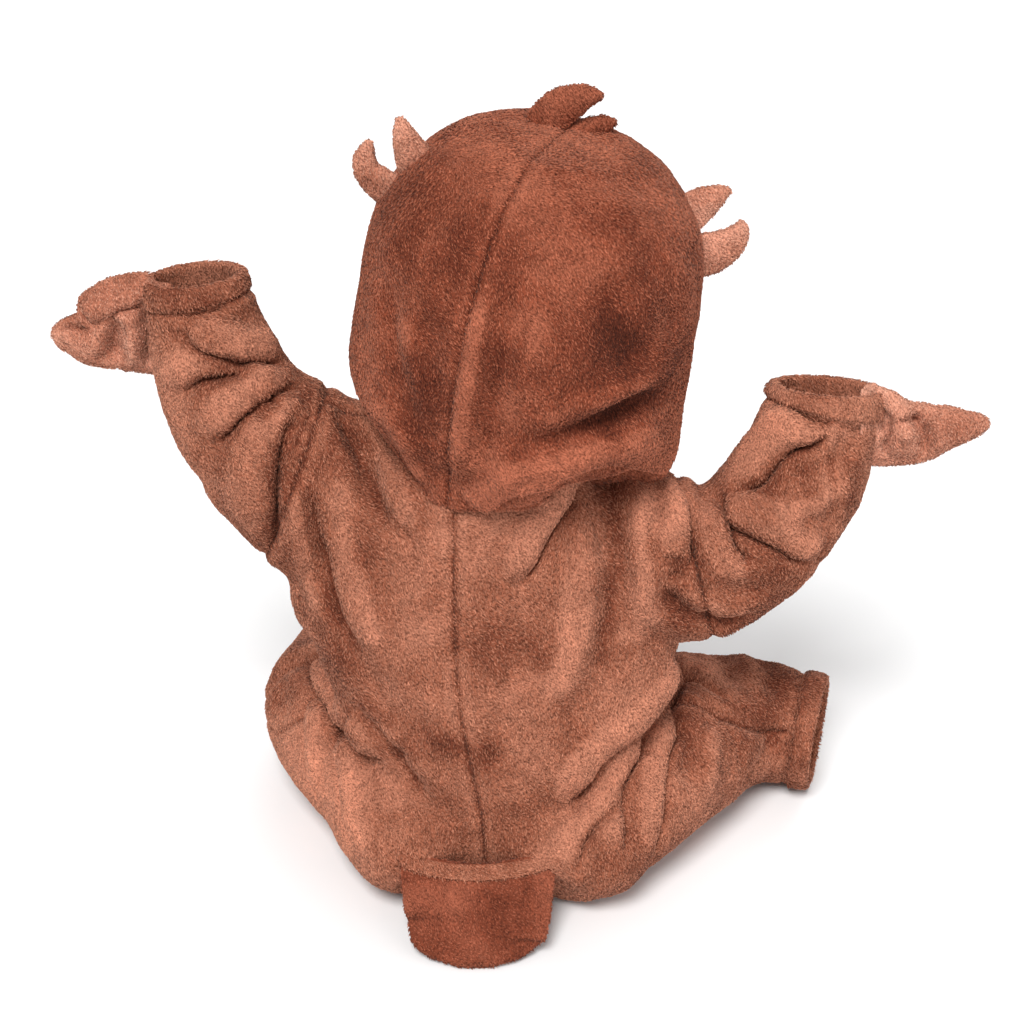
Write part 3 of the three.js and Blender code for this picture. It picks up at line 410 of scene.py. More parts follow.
def ring_faces(rings, around):
    """Quads between rings of points, and a fan to each of the two poles that follow them."""
    faces = []
    for i in range(rings - 1):
        for j in range(around):
            a, b = i * around + j, i * around + (j + 1) % around
            faces.append((a, b, b + around, a + around))
    first, last = rings * around, (rings - 1) * around
    for j in range(around):
        n = (j + 1) % around
        faces.append((first, n, j))
        faces.append((first + 1, last + j, last + n))
    return faces


def form(rows, count, around, flat=None, power=2.0, floor=None):
    """Points and quads of a closed form through the rows, with a pole at each end."""
    sections = smooth_rows(rows, count)
    wide, deep = level_frames(sections) if flat is None else limb_frames(sections, flat)
    turn = np.arange(around) / around * 2 * math.pi
    c, s = np.cos(turn), np.sin(turn)
    reach = (np.abs(c) ** power + np.abs(s) ** power) ** (-1 / power)
    across = sections[:, None, 3:4] * (reach * c)[None, :, None] * wide[:, None]
    through = sections[:, None, 4:5] * (reach * s)[None, :, None] * deep[:, None]
    points = (sections[:, None, :3] + across + through).reshape(-1, 3)
    points = np.vstack([points, sections[0, :3], sections[-1, :3]])
    if floor is not None:
        points[:, 2] = np.maximum(points[:, 2], floor)
    return points, ring_faces(count, around)


def station(rows, share, count):
    """Where a centre line is a share of the way along its sections, and its direction there."""
    sections = smooth_rows(rows, count)
    s = share * (count - 1)
    k = min(int(s), count - 2)
    a, b = sections[k, :3], sections[k + 1, :3]
    return a + (b - a) * (s - k), unit(b - a)


# ---- meshes
def new_mesh_object(name, points, faces):
    mesh = bpy.data.meshes.new(name)
    mesh.from_pydata(((np.asarray(points) - NECK) * MM).tolist(), [], [tuple(f) for f in faces])
    mesh.validate()
    mesh.update()
    obj = bpy.data.objects.new(name, mesh)
    bpy.context.scene.collection.objects.link(obj)
    return obj


def baked(obj):
    """Points (mm) and faces of an object with its modifiers applied; the object is removed."""
    graph = bpy.context.evaluated_depsgraph_get()
    mesh = bpy.data.meshes.new_from_object(obj.evaluated_get(graph))
    points = np.empty(len(mesh.vertices) * 3)
    mesh.vertices.foreach_get("co", points)
    faces = [tuple(p.vertices) for p in mesh.polygons]
    bpy.data.meshes.remove(mesh)
    old = obj.data
    bpy.data.objects.remove(obj)
    bpy.data.meshes.remove(old)
    return points.reshape(-1, 3) / MM + NECK, faces


def one_skin(forms, voxel, passes):
    """One even skin round several closed forms, softened where they meet."""
    points, faces = [], []
    shift = 0
    for p, f in forms:
        points.append(p)
        faces += [tuple(i + shift for i in face) for face in f]
        shift += len(p)
    obj = new_mesh_object("skin", np.vstack(points), faces)
    remesh = obj.modifiers.new("remesh", "REMESH")
    remesh.mode = "VOXEL"
    remesh.voxel_size = voxel * MM
    soften = obj.modifiers.new("soften", "SMOOTH")
    soften.factor = 0.5
    soften.iterations = passes
    return baked(obj)


def vertex_normals(points, faces):
    quads = np.array([f if len(f) == 4 else (f[0], f[1], f[2], f[2]) for f in faces])
    first, second, third, fourth = (points[quads[:, k]] for k in range(4))
    normal = np.cross(third - first, fourth - second)
    total = np.zeros_like(points)
    for k in range(4):
        np.add.at(total, quads[:, k], normal)
    return unit(total)


def edges_of(faces):
    pairs = set()
    for f in faces:
        for a, b in zip(f, f[1:] + f[:1]):
            pairs.add((a, b) if a < b else (b, a))
    return np.array(sorted(pairs))


def relax(points, edges, passes, strength=0.5, mask=None):
    for _ in range(passes):
        total = np.zeros_like(points)
        count = np.zeros(len(points))
        for a, b in ((0, 1), (1, 0)):
            np.add.at(total, edges[:, a], points[edges[:, b]])
            np.add.at(count, edges[:, a], 1)
        moved = points + strength * (total / np.maximum(count, 1)[:, None] - points)
        points = moved if mask is None else np.where(mask[:, None], moved, points)
    return points


def snap_to(points, edges, field, fixed):
    """Move the points nearest a line where the field is 0 on to that line, along their edges."""
    field, points = field.copy(), points.copy()
    fa, fb = field[edges[:, 0]], field[edges[:, 1]]
    best = {}
    for e in np.nonzero(fa * fb < 0)[0]:
        a, b = edges[e]
        near, far = (a, b) if abs(field[a]) < abs(field[b]) else (b, a)
        if fixed[near]:
            near, far = far, near
        if fixed[near]:
            continue
        share = field[near] / (field[near] - field[far])
        if near not in best or share < best[near][0]:
            best[near] = (share, far)
    moved = points.copy()
    for near, (share, far) in best.items():
        moved[near] = points[near] + share * (points[far] - points[near])
        field[near] = 0.0
    return moved, field


def cut_lines(points, edges, fields):
    """Points laid on the lines where each field is 0, and the fields' values at them."""
    at = {}
    fixed = np.zeros(len(points), bool)
    for key, field in fields.items():
        points, at[key] = snap_to(points, edges, field(points), fixed)
        fixed |= at[key] == 0
    for key, field in fields.items():
        at[key] = np.where(at[key] == 0, 0.0, field(points))
    return points, at


def split_across(faces, fields):
    """Cut a four-sided face in two where a line crosses it from corner to corner."""
    out = []
    for f in faces:
        cut = None
        if len(f) == 4:
            for field in fields:
                v = [field[i] for i in f]
                for k in (0, 1):
                    if v[k] == 0 and v[k + 2] == 0 and v[(k + 1) % 4] * v[(k + 3) % 4] < 0:
                        cut = k
        if cut is None:
            out.append(f)
        else:
            a, b, c, d = f[cut], f[(cut + 1) % 4], f[(cut + 2) % 4], f[(cut + 3) % 4]
            out += [(a, b, c), (a, c, d)]
    return out


def face_side(faces, field):
    """True for each face on the positive side of a snapped field."""
    return np.array([sum(field[i] for i in f) > 0 for f in faces])


def bvh_of(points, faces):
    return BVHTree.FromPolygons([Vector(p) for p in points], [tuple(f) for f in faces])


def signed_distance(tree, points):
    out = np.empty(len(points))
    for i, p in enumerate(points):
        near, normal, _, distance = tree.find_nearest(Vector(p))
        out[i] = math.copysign(distance, (Vector(p) - near).dot(normal))
    return out


# ---- creases
VIEWS = {
    "front": (np.array([0.0, -1.0, 0.0]), lambda u, v: np.array([u, RAYS_FROM, v])),
    "left": (np.array([1.0, 0.0, 0.0]), lambda u, v: np.array([-RAYS_FROM, u, v])),
    "right": (np.array([-1.0, 0.0, 0.0]), lambda u, v: np.array([RAYS_FROM, u, v])),
    "top": (np.array([0.0, 0.0, -1.0]), lambda u, v: np.array([u, v, RAYS_FROM])),
}


def ray(view, u, v):
    if view == "back":
        way = LOOK * FOCAL_PX + LOOK_RIGHT * (u - IMAGE / 2) - LOOK_UP * (v - IMAGE / 2)
        return CAMERA_AT, unit(way)
    way, start = VIEWS[view]
    return start(u, v), way


def crease_line(tree, view, marks, step):
    """Points along a crease on the cloth, with the cloth's normal at each."""
    marks = np.array(marks, float)
    if len(marks) > 2:
        marks = smooth_rows(marks, 4 * len(marks))
    spots = []
    for a, b in zip(marks, marks[1:]):
        for t in np.linspace(0, 1, step, endpoint=False):
            start, way = ray(view, *(a + (b - a) * t))
            where, normal, _, _ = tree.ray_cast(Vector(start), Vector(way))
            if where is not None:
                spots.append((np.array(where), np.array(normal)))
    if len(spots) < 3:
        return None
    return np.array([s[0] for s in spots]), np.array([s[1] for s in spots])


def hill(x, at, width, high):
    """A smooth hill, given by its middle, half width and height."""
    return high * np.exp(-((x - at) / width) ** 2)


def smoothstep(x, low, high):
    t = np.clip((x - low) / (high - low), 0, 1)
    return t * t * (3 - 2 * t)


def crease_depth(points, normals, faces, creases):
    """How far each point is pressed in by the creases, and how far a rolled fold slides it sideways."""
    tree = bvh_of(points, faces)
    depth = np.zeros(len(points))
    slide = np.zeros_like(points)
    rows = [(view, *row) for view, group in creases.items() for row in group]
    for view, deep, width, roll, marks in rows:
        line = crease_line(tree, view, marks, 3)
        if line is None:
            continue
        spots, facing = line
        reach = 4 * width
        near = np.all((points > spots.min(0) - reach) & (points < spots.max(0) + reach), axis=1)
        index = np.nonzero(near)[0]
        if len(index) == 0:
            continue
        gap = np.linalg.norm(points[index, None] - spots[None], axis=2)
        closest = gap.argmin(1)
        away = gap[np.arange(len(index)), closest] / width
        share = closest / (len(spots) - 1)
        taper = smoothstep(share, 0, CREASE_TAPER) * smoothstep(1 - share, 0, CREASE_TAPER)
        same_side = smoothstep((normals[index] * facing[closest]).sum(1), *SAME_SIDE)
        if roll:
            rightward = unit(np.cross(unit(np.gradient(spots, axis=0)), facing))
            u = roll * ((points[index] - spots[closest]) * rightward[closest]).sum(1) / width
            onward = hill(np.sqrt(np.maximum(away ** 2 - u ** 2, 0)), 0, ROLL_END, 1)
            press = (hill(u, *ROLL_TROUGH) + hill(u, *ROLL_RIDGE)) * onward
            lean = deep * hill(u, *ROLL_OVERHANG) * onward * taper * same_side
            slide[index] += roll * lean[:, None] * rightward[closest]
        else:
            press = hill(away, 0, 1, 1) + hill(away, *CREASE_LIPS)
        depth[index] += deep * press * taper * same_side
    return np.clip(depth, -MOST_RAISED, MOST_PRESSED), slide


def swell(points, size, seed, octaves):
    """Soft uneven swelling, from -1 to 1."""
    return np.array([noise.fractal(Vector(p) / size + Vector((seed, 2 * seed, 0)), 1.0, 2.0, octaves)
                     for p in points])


def swells(points, table):
    return sum(high * swell(points, *kind) for high, *kind in table)


def to_frame(points):
    """Where the camera sees each point, in pixels of the 1024 frame."""
    way = points - CAMERA_AT
    ahead = way @ LOOK
    u = IMAGE / 2 + FOCAL_PX * (way @ LOOK_RIGHT) / ahead
    return u, IMAGE / 2 - FOCAL_PX * (way @ LOOK_UP) / ahead


def above_hood_edge(points):
    """Distance above the hood's lower edge, as the camera sees it."""
    u, v = to_frame(points)
    line = np.array(HOOD_EDGE, float)
    gap = (np.interp(u, line[:, 0], line[:, 1]) - v) * CAMERA_DISTANCE / FOCAL_PX
    return gap + EDGE_SLOPE * np.maximum(points[:, 1] - EDGE_BACK_OF, 0)


def lap_under(points):
    """How far the back's cloth goes on up behind the hood's edge: most under the flap."""
    return LAP + FLAP_LAP * smoothstep(to_frame(points)[0], *FLAP_FROM)


def tucked(points):
    """Share by which the hood's cloth is folded in, from 0 above its edge to 1 below."""
    return smoothstep(-above_hood_edge(points), *TUCK_OVER)


def nap_and_painted_shade(points, normals, press):
    """How much paler the pile is painted: brushed patches of nap and patches of painted shade and light,
    painted shade in troughs and painted light on ridges.
    """
    u, v = to_frame(points)
    seen = smoothstep(-normals @ LOOK, *SEEN)
    nap_and_shade = np.zeros(len(points))
    for at_u, at_v, radius, paler in NAP_AND_SHADE_PATCHES:
        nap_and_shade += seen * hill(np.hypot(u - at_u, v - at_v), 0, radius, paler)
    nap_and_shade -= TROUGH_PAINTED_SHADE * smoothstep(press, *TROUGH_OVER)
    return nap_and_shade + RIDGE_PAINTED_LIGHT * smoothstep(-press, *RIDGE_OVER)


# ---- looks
# scale, detail, roughness, warp, stretch and lean of the plush's noises
PATCH_GRAIN = (15.0, 3.0, 0.55, 0.03)
STREAK_GRAIN = (150.0, 2.0, 0.6, 0.02, (1.4, 1.4, 0.6))
TUFT_GRAIN = (820.0, 1.0, 0.6, 0.012, (1.3, 1.3, 0.7), 0.6)
NAP_STOPS = (0.08, 0.36, 0.50, 0.66, 0.9)            # where the five colours of the nap and its painted shade and light lie
DEEP_SHARE, PALE_SHARE = 0.38, 1.4       # its first colour, painted shade for deep troughs, and its last, painted light for ridges, from the dark and pale ones
STREAK_STOPS = [(0.36, (0.90,) * 3), (0.64, (1.09,) * 3)]
TUFT_PAINTED_SHADE, TUFT_PAINTED_HIGHLIGHT = 0.48, 0.26     # how much shade is painted at a tuft's root and highlight at its tip
STREAK_HEIGHT, BUMP_DEPTH = 0.5, 0.0012  # height of streaks over that of tufts, and of both in metres
PLUSH_SURFACE = {
    "Roughness": 0.72, "Specular IOR Level": 0.14, "Sheen Weight": 0.14, "Sheen Roughness": 0.4,
    "Sheen Tint": (0.95, 0.60, 0.46, 1),
}


def set_inputs(tree, node, inputs):
    """Inputs given as a socket are linked, the others take the value."""
    for key, value in inputs.items():
        if isinstance(value, bpy.types.NodeSocket):
            tree.links.new(value, node.inputs[key])
        else:
            node.inputs[key].default_value = value


def add_node(tree, kind, inputs, **settings):
    node = tree.nodes.new("ShaderNode" + kind)
    for key, value in settings.items():
        setattr(node, key, value)
    set_inputs(tree, node, inputs)
    return node


def new_material(name):
    mat = bpy.data.materials.new(name)
    mat.use_nodes = True
    return mat, mat.node_tree, mat.node_tree.nodes["Principled BSDF"]


def plush(name, base, dark_nap_and_shade, pale_nap_and_light, contrast=1.0):
    """Brushed short pile: tufts a millimetre or two long, with painted shade between them and painted
    highlights on them, soft patches where the nap turns, and the painted shade and light that the cloth's
    points carry.
    """
    mat, tree, out = new_material(name)
    where = add_node(tree, "TexCoord", {}).outputs["Object"]

    def grain(scale, detail, rough, warp, stretch=(1, 1, 1), lean=0.0):
        """Noise whose places are bent by warp, turned by lean and stretched."""
        bend = add_node(tree, "TexNoise", {"Vector": where, "Scale": BEND_SCALE, "Detail": 1.0})
        bent = add_node(tree, "VectorMath", {0: bend.outputs["Color"], 1: (warp, warp, warp), 2: where},
                        operation="MULTIPLY_ADD")
        turned = add_node(tree, "VectorRotate", {"Vector": bent.outputs[0], "Angle": lean},
                          rotation_type="Y_AXIS")
        mapped = add_node(tree, "Mapping", {"Vector": turned.outputs[0], "Scale": stretch})
        spots = {"Vector": mapped.outputs["Vector"], "Scale": scale, "Detail": detail, "Roughness": rough}
        return add_node(tree, "TexNoise", spots).outputs["Fac"]

    def ramp(source, stops):
        node = add_node(tree, "ValToRGB", {"Fac": source})
        elements = node.color_ramp.elements
        while len(elements) < len(stops):
            elements.new(0.5)
        for element, (at, colour) in zip(elements, stops):
            element.position = at
            element.color = (*colour, 1)
        return node.outputs["Color"]

    def multiply(a, b):
        node = add_node(tree, "Mix", {}, data_type="RGBA", blend_type="MULTIPLY")
        set_inputs(tree, node, {"Factor": 1.0, "A": a, "B": b})
        return node.outputs["Result"]

    patches = grain(*PATCH_GRAIN)
    brushed_and_shaded = add_node(tree, "Attribute", {}, attribute_name="nap_and_shade").outputs["Fac"]
    nap_and_shade = add_node(tree, "Math", {0: patches, 1: brushed_and_shaded}, operation="ADD").outputs[0]
    # the ramp runs from painted shade, through the nap's dark tone, base and pale tone, to painted light
    deep = tuple(DEEP_SHARE * c for c in dark_nap_and_shade)
    pale = tuple(PALE_SHARE * c for c in pale_nap_and_light)
    colour = ramp(nap_and_shade, list(zip(NAP_STOPS, (deep, dark_nap_and_shade, base, pale_nap_and_light, pale))))
    streaks = grain(*STREAK_GRAIN)
    colour = multiply(colour, ramp(streaks, STREAK_STOPS))
    tufts = grain(*TUFT_GRAIN)
    # tufts: the grain's low spots get painted shade, as gaps between lit tufts, and its high spots painted
    # highlights
    low, high = 1 - TUFT_PAINTED_SHADE * contrast, 1 + TUFT_PAINTED_HIGHLIGHT * contrast
    shades = [(0.34, (low, low * 0.92, low * 0.90)), (0.47, (1.0, 0.98, 0.97)), (0.66, (high,) * 3)]
    colour = multiply(colour, ramp(tufts, shades))
    height = add_node(tree, "Math", {0: streaks, 1: STREAK_HEIGHT, 2: tufts}, operation="MULTIPLY_ADD")
    bump = add_node(tree, "Bump", {"Strength": 1.0, "Distance": BUMP_DEPTH, "Height": height.outputs[0]})
    set_inputs(tree, out, {"Base Color": colour, "Normal": bump.outputs["Normal"], **PLUSH_SURFACE})
    return mat


def moulded(name, colour, roughness):
    mat, tree, out = new_material(name)
    set_inputs(tree, out, {"Base Color": (*colour, 1), "Roughness": roughness})
    return mat


# each plush: base, and the nap's dark and pale tones, which painted shade and painted light also darken
# and pale towards
BODY_LOOK = plush("plush_body", (0.325, 0.110, 0.060), (0.175, 0.045, 0.022), (0.455, 0.184, 0.112))
HOOD_LOOK = plush("plush_hood", (0.235, 0.056, 0.026), (0.130, 0.027, 0.012), (0.38, 0.118, 0.064), 0.95)
TAIL_LOOK = plush("plush_tail", (0.215, 0.052, 0.025), (0.145, 0.032, 0.014), (0.33, 0.098, 0.053), 0.8)
PALE_LOOK = plush("plush_feather", (0.56, 0.235, 0.150), (0.42, 0.150, 0.088), (0.66, 0.32, 0.22), 0.9)
BUTTON_LOOK = moulded("button_plastic", (0.085, 0.026, 0.012), 0.5)


def set_nap_and_shade(obj, values):
    """How much paler the pile is painted at each point, for the material: brushed nap, painted shade and
    painted light.
    """
    obj.data.attributes.new("nap_and_shade", "FLOAT", "POINT").data.foreach_set("value", values)


def finish_piece(obj, look, node=None):
    obj.data.materials.clear()
    obj.data.materials.append(look)
    for polygon in obj.data.polygons:
        polygon.use_smooth = True
    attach(obj, "root")
    if node is not None:
        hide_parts(node)
    return obj


def apply_modifiers(obj):
    graph = bpy.context.evaluated_depsgraph_get()
    mesh = bpy.data.meshes.new_from_object(obj.evaluated_get(graph))
    old = obj.data
    obj.modifiers.clear()
    obj.data = mesh
    bpy.data.meshes.remove(old)
    return obj


def pile(under, points, faces, look, nap_and_shade=None, length=TUFT_LENGTH, facing=1):
    """Locks of pile leaning over a surface: folded leaves, with painted shade at the root and a painted
    highlight at the tip.
    """
    quads = np.array([f if len(f) == 4 else (*f, f[2]) for f in faces])
    normals = facing * vertex_normals(points, faces)
    corner = points[quads]
    area = np.linalg.norm(np.cross(corner[:, 2] - corner[:, 0], corner[:, 3] - corner[:, 1]), axis=1) / 2
    total = np.cumsum(area)
    count = int(total[-1] / TUFT_APART ** 2)
    rng = np.random.default_rng(PILE_SEED)
    reached = (np.arange(count) + rng.random(count)) * total[-1] / count
    at = np.minimum(np.searchsorted(total, reached), len(quads) - 1)
    s, t = rng.random((2, count))
    weights = np.stack([(1 - s) * (1 - t), s * (1 - t), s * t, (1 - s) * t], -1)

    def between(values):
        shaped = values[quads[at]]
        return (shaped * weights.reshape(weights.shape + (1,) * (shaped.ndim - 2))).sum(1)

    root, out = between(points), unit(between(normals))
    drift = between(swell(points, *NAP_DRIFT))
    along = unit(NAP_LEAN - out * (out @ NAP_LEAN)[:, None])
    angle = DRIFT_TURN * drift + rng.normal(0.0, STRAY_TURN, count)
    lie = along * np.cos(angle)[:, None] + np.cross(out, along) * np.sin(angle)[:, None]
    beside = np.cross(out, lie) * (TUFT_HALF_WIDTH * rng.uniform(*TUFT_WIDTHS, count))[:, None]
    reach = (length * rng.uniform(*TUFT_LENGTHS, count))[:, None]
    rise = rng.uniform(*TUFT_RISE, count)[:, None]
    tip = root + reach * (lie * np.sqrt(1 - rise ** 2) + out * rise)
    foot = root - TUFT_ROOTED * out
    crown = root + TUFT_CROWN * out
    leaf = np.stack([foot - beside, foot + beside, crown, tip], 1).reshape(-1, 3)
    first = np.arange(count)[:, None] * 4
    sides = np.concatenate([first + (0, 2, 3), first + (2, 1, 3)], 1).reshape(-1, 3)
    obj = new_mesh_object("pile_" + under, leaf, sides.tolist())
    shade = rng.normal(0.0, TUFT_SHADES, count) + (0 if nap_and_shade is None else between(nap_and_shade))
    set_nap_and_shade(obj, (shade[:, None] + LEAF_PAINTED_SHADE_AND_LIGHT).ravel())
    finish_piece(obj, look)


def panel(node, points, faces, keep, look, nap_and_shade):
    """The chosen faces as a piece of cloth, thickened inwards; the last argument is how much paler each
    point is painted, brushed nap with painted shade and light.
    """
    chosen = [f for f, k in zip(faces, keep) if k]
    used = sorted({i for f in chosen for i in f})
    place = {i: n for n, i in enumerate(used)}
    cut = [tuple(place[i] for i in f) for f in chosen]
    obj = new_mesh_object("cloth_" + node, points[used], cut)
    set_nap_and_shade(obj, nap_and_shade[used])
    pile(obj.name, points[used], cut, look, nap_and_shade[used])
    cloth = obj.modifiers.new("cloth", "SOLIDIFY")
    cloth.thickness = WALL * MM
    cloth.offset = -1
    cloth.use_even_offset = False
    apply_modifiers(obj)
    return finish_piece(obj, look, node)


# ---- body
# the centre seam as x, z and the side seam as y, z
CENTRE_SEAM = [(5, 20), (4, 60), (-4, 108), (-10, 150), (-12, 205), (-12, 260)]
SIDE_SEAM = [(400, 46), (120, 50), (102, 52), (88, 58), (79, 68), (74, 80), (72, 96), (66, 240), (66, 400)]
ARMHOLE_LEFT = (np.array([-106.0, 72.0, 250.0]), unit(np.array([-0.93, 0.05, 0.36])))
ARMHOLE_RIGHT = (np.array([128.0, 60.0, 204.0]), unit(np.array([0.97, 0.05, 0.22])))
NECK_PLANE = (NECK, unit(np.array([0.2, -0.28, 0.94])))
NECK_REACH = 14.0             # how far below it the hood still goes on, to meet the shoulders
FORWARD, UP = (0, 1, 0), (0, 0, 1)
SLEEVE_FLOOR = 125.0          # nothing below this height belongs to a sleeve

TORSO_RINGS, RINGS = 56, 60   # rings of the torso, and of the other forms
BODY_AROUND, HOOD_AROUND = 96, 120       # points round each ring
BODY_SMOOTHED, HOOD_SMOOTHED = 14, 8     # smoothing passes of the two skins
SETTLED = 1, 0.3              # passes and strength of the last smoothing
SEAT_CREASED = 0.5, 14        # heights between which creases of the underside fade in
UNDERSIDE = -0.5              # cloth that faces down more than this is underside
STATION_STEPS, END_REACH = 200, 75       # steps along a limb; how near its end a cut counts
BEYOND = 400                  # outside the garment on every side
ARM_BLEND = -2, 2             # distances before and past an armhole where the trunk ends
# how deep the seams are pressed in
CENTRE_PRESS, SIDE_PRESS, ARM_PRESS, END_PRESS, HOOD_PRESS = 1.4, 1.8, 2.4, 1.6, 1.5
HOOD_CLEAR, TUCK_CLEAR = 1.0, 14         # the hood's cloth over the body's, and more where tucked

detail = 1.0
ring = int(BODY_AROUND * detail)
body_forms = [
    form(TORSO, TORSO_RINGS, ring, power=2.15, floor=0),
    form(SLEEVE_LEFT, RINGS, ring, FORWARD),
    form(SLEEVE_RIGHT, RINGS, ring, FORWARD),
    form(LEG_LEFT, RINGS, ring, UP, floor=0.5),
    form(LEG_RIGHT, RINGS, ring, UP, floor=0.5),
]
body, body_faces = one_skin(body_forms, VOXEL, BODY_SMOOTHED)
hood_form = form(HOOD, RINGS, int(HOOD_AROUND * detail), power=2.1)
hood_skin, hood_faces = one_skin([hood_form], VOXEL, HOOD_SMOOTHED)
body_edges, hood_edges = edges_of(body_faces), edges_of(hood_faces)
hood_plain = bvh_of(hood_skin, hood_faces)


def plane_field(points, plane):
    return (points - plane[0]) @ plane[1]


def centre_field(points):
    seam = smooth_rows(CENTRE_SEAM, 60)
    return points[:, 0] - np.interp(points[:, 2], seam[:, 1], seam[:, 0])


def side_field(points):
    """Distance from the side seam's line, seen from the side; positive towards the back."""
    line = np.array(SIDE_SEAM, float)
    p = points[:, 1:3]
    best = np.full(len(p), 1e9)
    for a, b in zip(line, line[1:]):
        t = np.clip(((p - a) @ (b - a)) / ((b - a) @ (b - a)), 0, 1)
        best = np.minimum(best, np.linalg.norm(p - a - t[:, None] * (b - a), axis=1))
    shape = np.vstack([line, [(-BEYOND, BEYOND), (-BEYOND, -BEYOND), (BEYOND, -BEYOND)]])
    inside = np.zeros(len(p), bool)
    for a, b in zip(shape, np.roll(shape, -1, axis=0)):
        crosses = (a[1] > p[:, 1]) != (b[1] > p[:, 1])
        at = (b[0] - a[0]) * (p[:, 1] - a[1]) / (b[1] - a[1] + 1e-9) + a[0]
        inside ^= crosses & (p[:, 0] < at)
    return np.where(inside, best, -best)


def arm_field(points, plane):
    """Distance past an armhole, kept negative low down, where the legs are."""
    return np.minimum(plane_field(points, plane), points[:, 2] - SLEEVE_FLOOR)


def near_plane(points, plane):
    """Distance past a plane, only within reach of its point; elsewhere it stays negative."""
    away = np.linalg.norm(points - plane[0], axis=1)
    past = plane_field(points, plane)
    return np.where(away < END_REACH, past, -np.abs(past) - 1)


ENDS = {
    "cuff_left": station(SLEEVE_LEFT, CUFF_AT, STATION_STEPS),
    "cuff_right": station(SLEEVE_RIGHT, CUFF_AT, STATION_STEPS),
    "hem_left": station(LEG_LEFT, HEM_AT, STATION_STEPS),
    "hem_right": station(LEG_RIGHT, HEM_AT, STATION_STEPS),
}
BODY_FIELDS = {
    "arm_left": lambda p: arm_field(p, ARMHOLE_LEFT),
    "arm_right": lambda p: arm_field(p, ARMHOLE_RIGHT),
    **{key: lambda p, plane=plane: near_plane(p, plane) for key, plane in ENDS.items()},
    "centre": centre_field,
    "side": side_field,
    "in_hood": lambda p: np.minimum(-signed_distance(hood_plain, p) - UNDER_HOOD,
                                    above_hood_edge(p) - lap_under(p)),
}
body, body_at = cut_lines(body, body_edges, BODY_FIELDS)
plain_body = body
body_faces = split_across(body_faces, list(body_at.values()))
body_normals = vertex_normals(body, body_faces)
press, slide = crease_depth(body, body_normals, body_faces, BODY_CREASES)
# how much paler each point is painted: brushed nap, with painted shade in troughs and painted light on
# ridges
body_nap_and_shade = nap_and_painted_shade(body, body_normals, press)
trunk = smoothstep(-body_at["arm_left"], *ARM_BLEND) * smoothstep(-body_at["arm_right"], *ARM_BLEND)


def seam_press(gap, deep):
    """Cloth pressed in at a seam, and puffed up beside it."""
    return hill(gap, 0, SEAM_HALF_WIDTH, deep) + hill(np.abs(gap), *SEAM_PUFFS)


def seam_painted_shade_and_light(gap):
    """The pile parts at a seam: shade is painted into its groove and light on to the puffs beside it."""
    return hill(gap, *SEAM_PAINTED_SHADE) + hill(np.abs(gap), *SEAM_PAINTED_LIGHT)


def far_off(gap, reach=30.0):
    """A gap kept only near the plane it is measured from."""
    return np.where(gap > -reach, gap, FAR)


seams = [
    (np.where(trunk > 0.5, body_at["centre"], FAR), CENTRE_PRESS),
    (np.where(trunk > 0.5, body_at["side"], FAR), SIDE_PRESS),
    (body_at["arm_left"], ARM_PRESS),
    (body_at["arm_right"], ARM_PRESS),
]
seams += [(far_off(body_at[key]), END_PRESS) for key in ENDS]
# each seam is pressed in, with painted shade in its groove and painted light on the puffs beside it
for gap, deep in seams:
    press += seam_press(gap, deep)
    body_nap_and_shade += seam_painted_shade_and_light(gap)
press += swells(body, BODY_SWELLS)
off_floor = smoothstep(body[:, 2], *SEAT_CREASED)
lift = np.where(body_normals[:, 2] < UNDERSIDE, off_floor, 1.0)
body = body - body_normals * (press * lift)[:, None] + slide
body = relax(body, body_edges, *SETTLED)
body[:, 2] = np.maximum(body[:, 2], OFF_FLOOR)

side = {key: face_side(body_faces, field) for key, field in body_at.items()}
sleeve_l = side["arm_left"] & ~side["cuff_left"]
sleeve_r = side["arm_right"] & ~side["cuff_right"]
past_ends = side["hem_left"] | side["hem_right"] | side["in_hood"]
trunk_faces = ~side["arm_left"] & ~side["arm_right"] & ~past_ends
panels = {
    "back_left": trunk_faces & side["side"] & ~side["centre"],
    "back_right": trunk_faces & side["side"] & side["centre"],
    "front_left": trunk_faces & ~side["side"] & ~side["centre"],
    "front_right": trunk_faces & ~side["side"] & side["centre"],
    "sleeve_left": sleeve_l,
    "sleeve_right": sleeve_r,
}
made = {}
for node, keep in panels.items():
    made[node] = panel(node, body, body_faces, keep, BODY_LOOK, body_nap_and_shade)

# ---- hood
hood_up = np.array([math.sin(HEAD_ROLL), 0.0, math.cos(HEAD_ROLL)])
hood_face = np.array([math.sin(HEAD_YAW), math.cos(HEAD_YAW), 0.0])
hood_face = unit(hood_face - hood_up * (hood_face @ hood_up))
hood_side = unit(np.cross(hood_face, hood_up))
FACE_CENTRE = HOOD_CENTRE + FACE_RISE * hood_up


def face_field(points):
    """Distance outside the face opening's oval, seen along the way the hood faces."""
    p = points - FACE_CENTRE
    across, up, ahead = p @ hood_side, p @ hood_up, p @ hood_face
    r = np.hypot(across / FACE_HALF_WIDTH, up / FACE_HALF_HEIGHT)
    reach = np.hypot(across, up)
    gap = np.where(r > 1e-6, reach * (1 - 1 / np.maximum(r, 1e-6)), -FACE_HALF_WIDTH)
    return np.where(ahead > 0, gap, FAR)


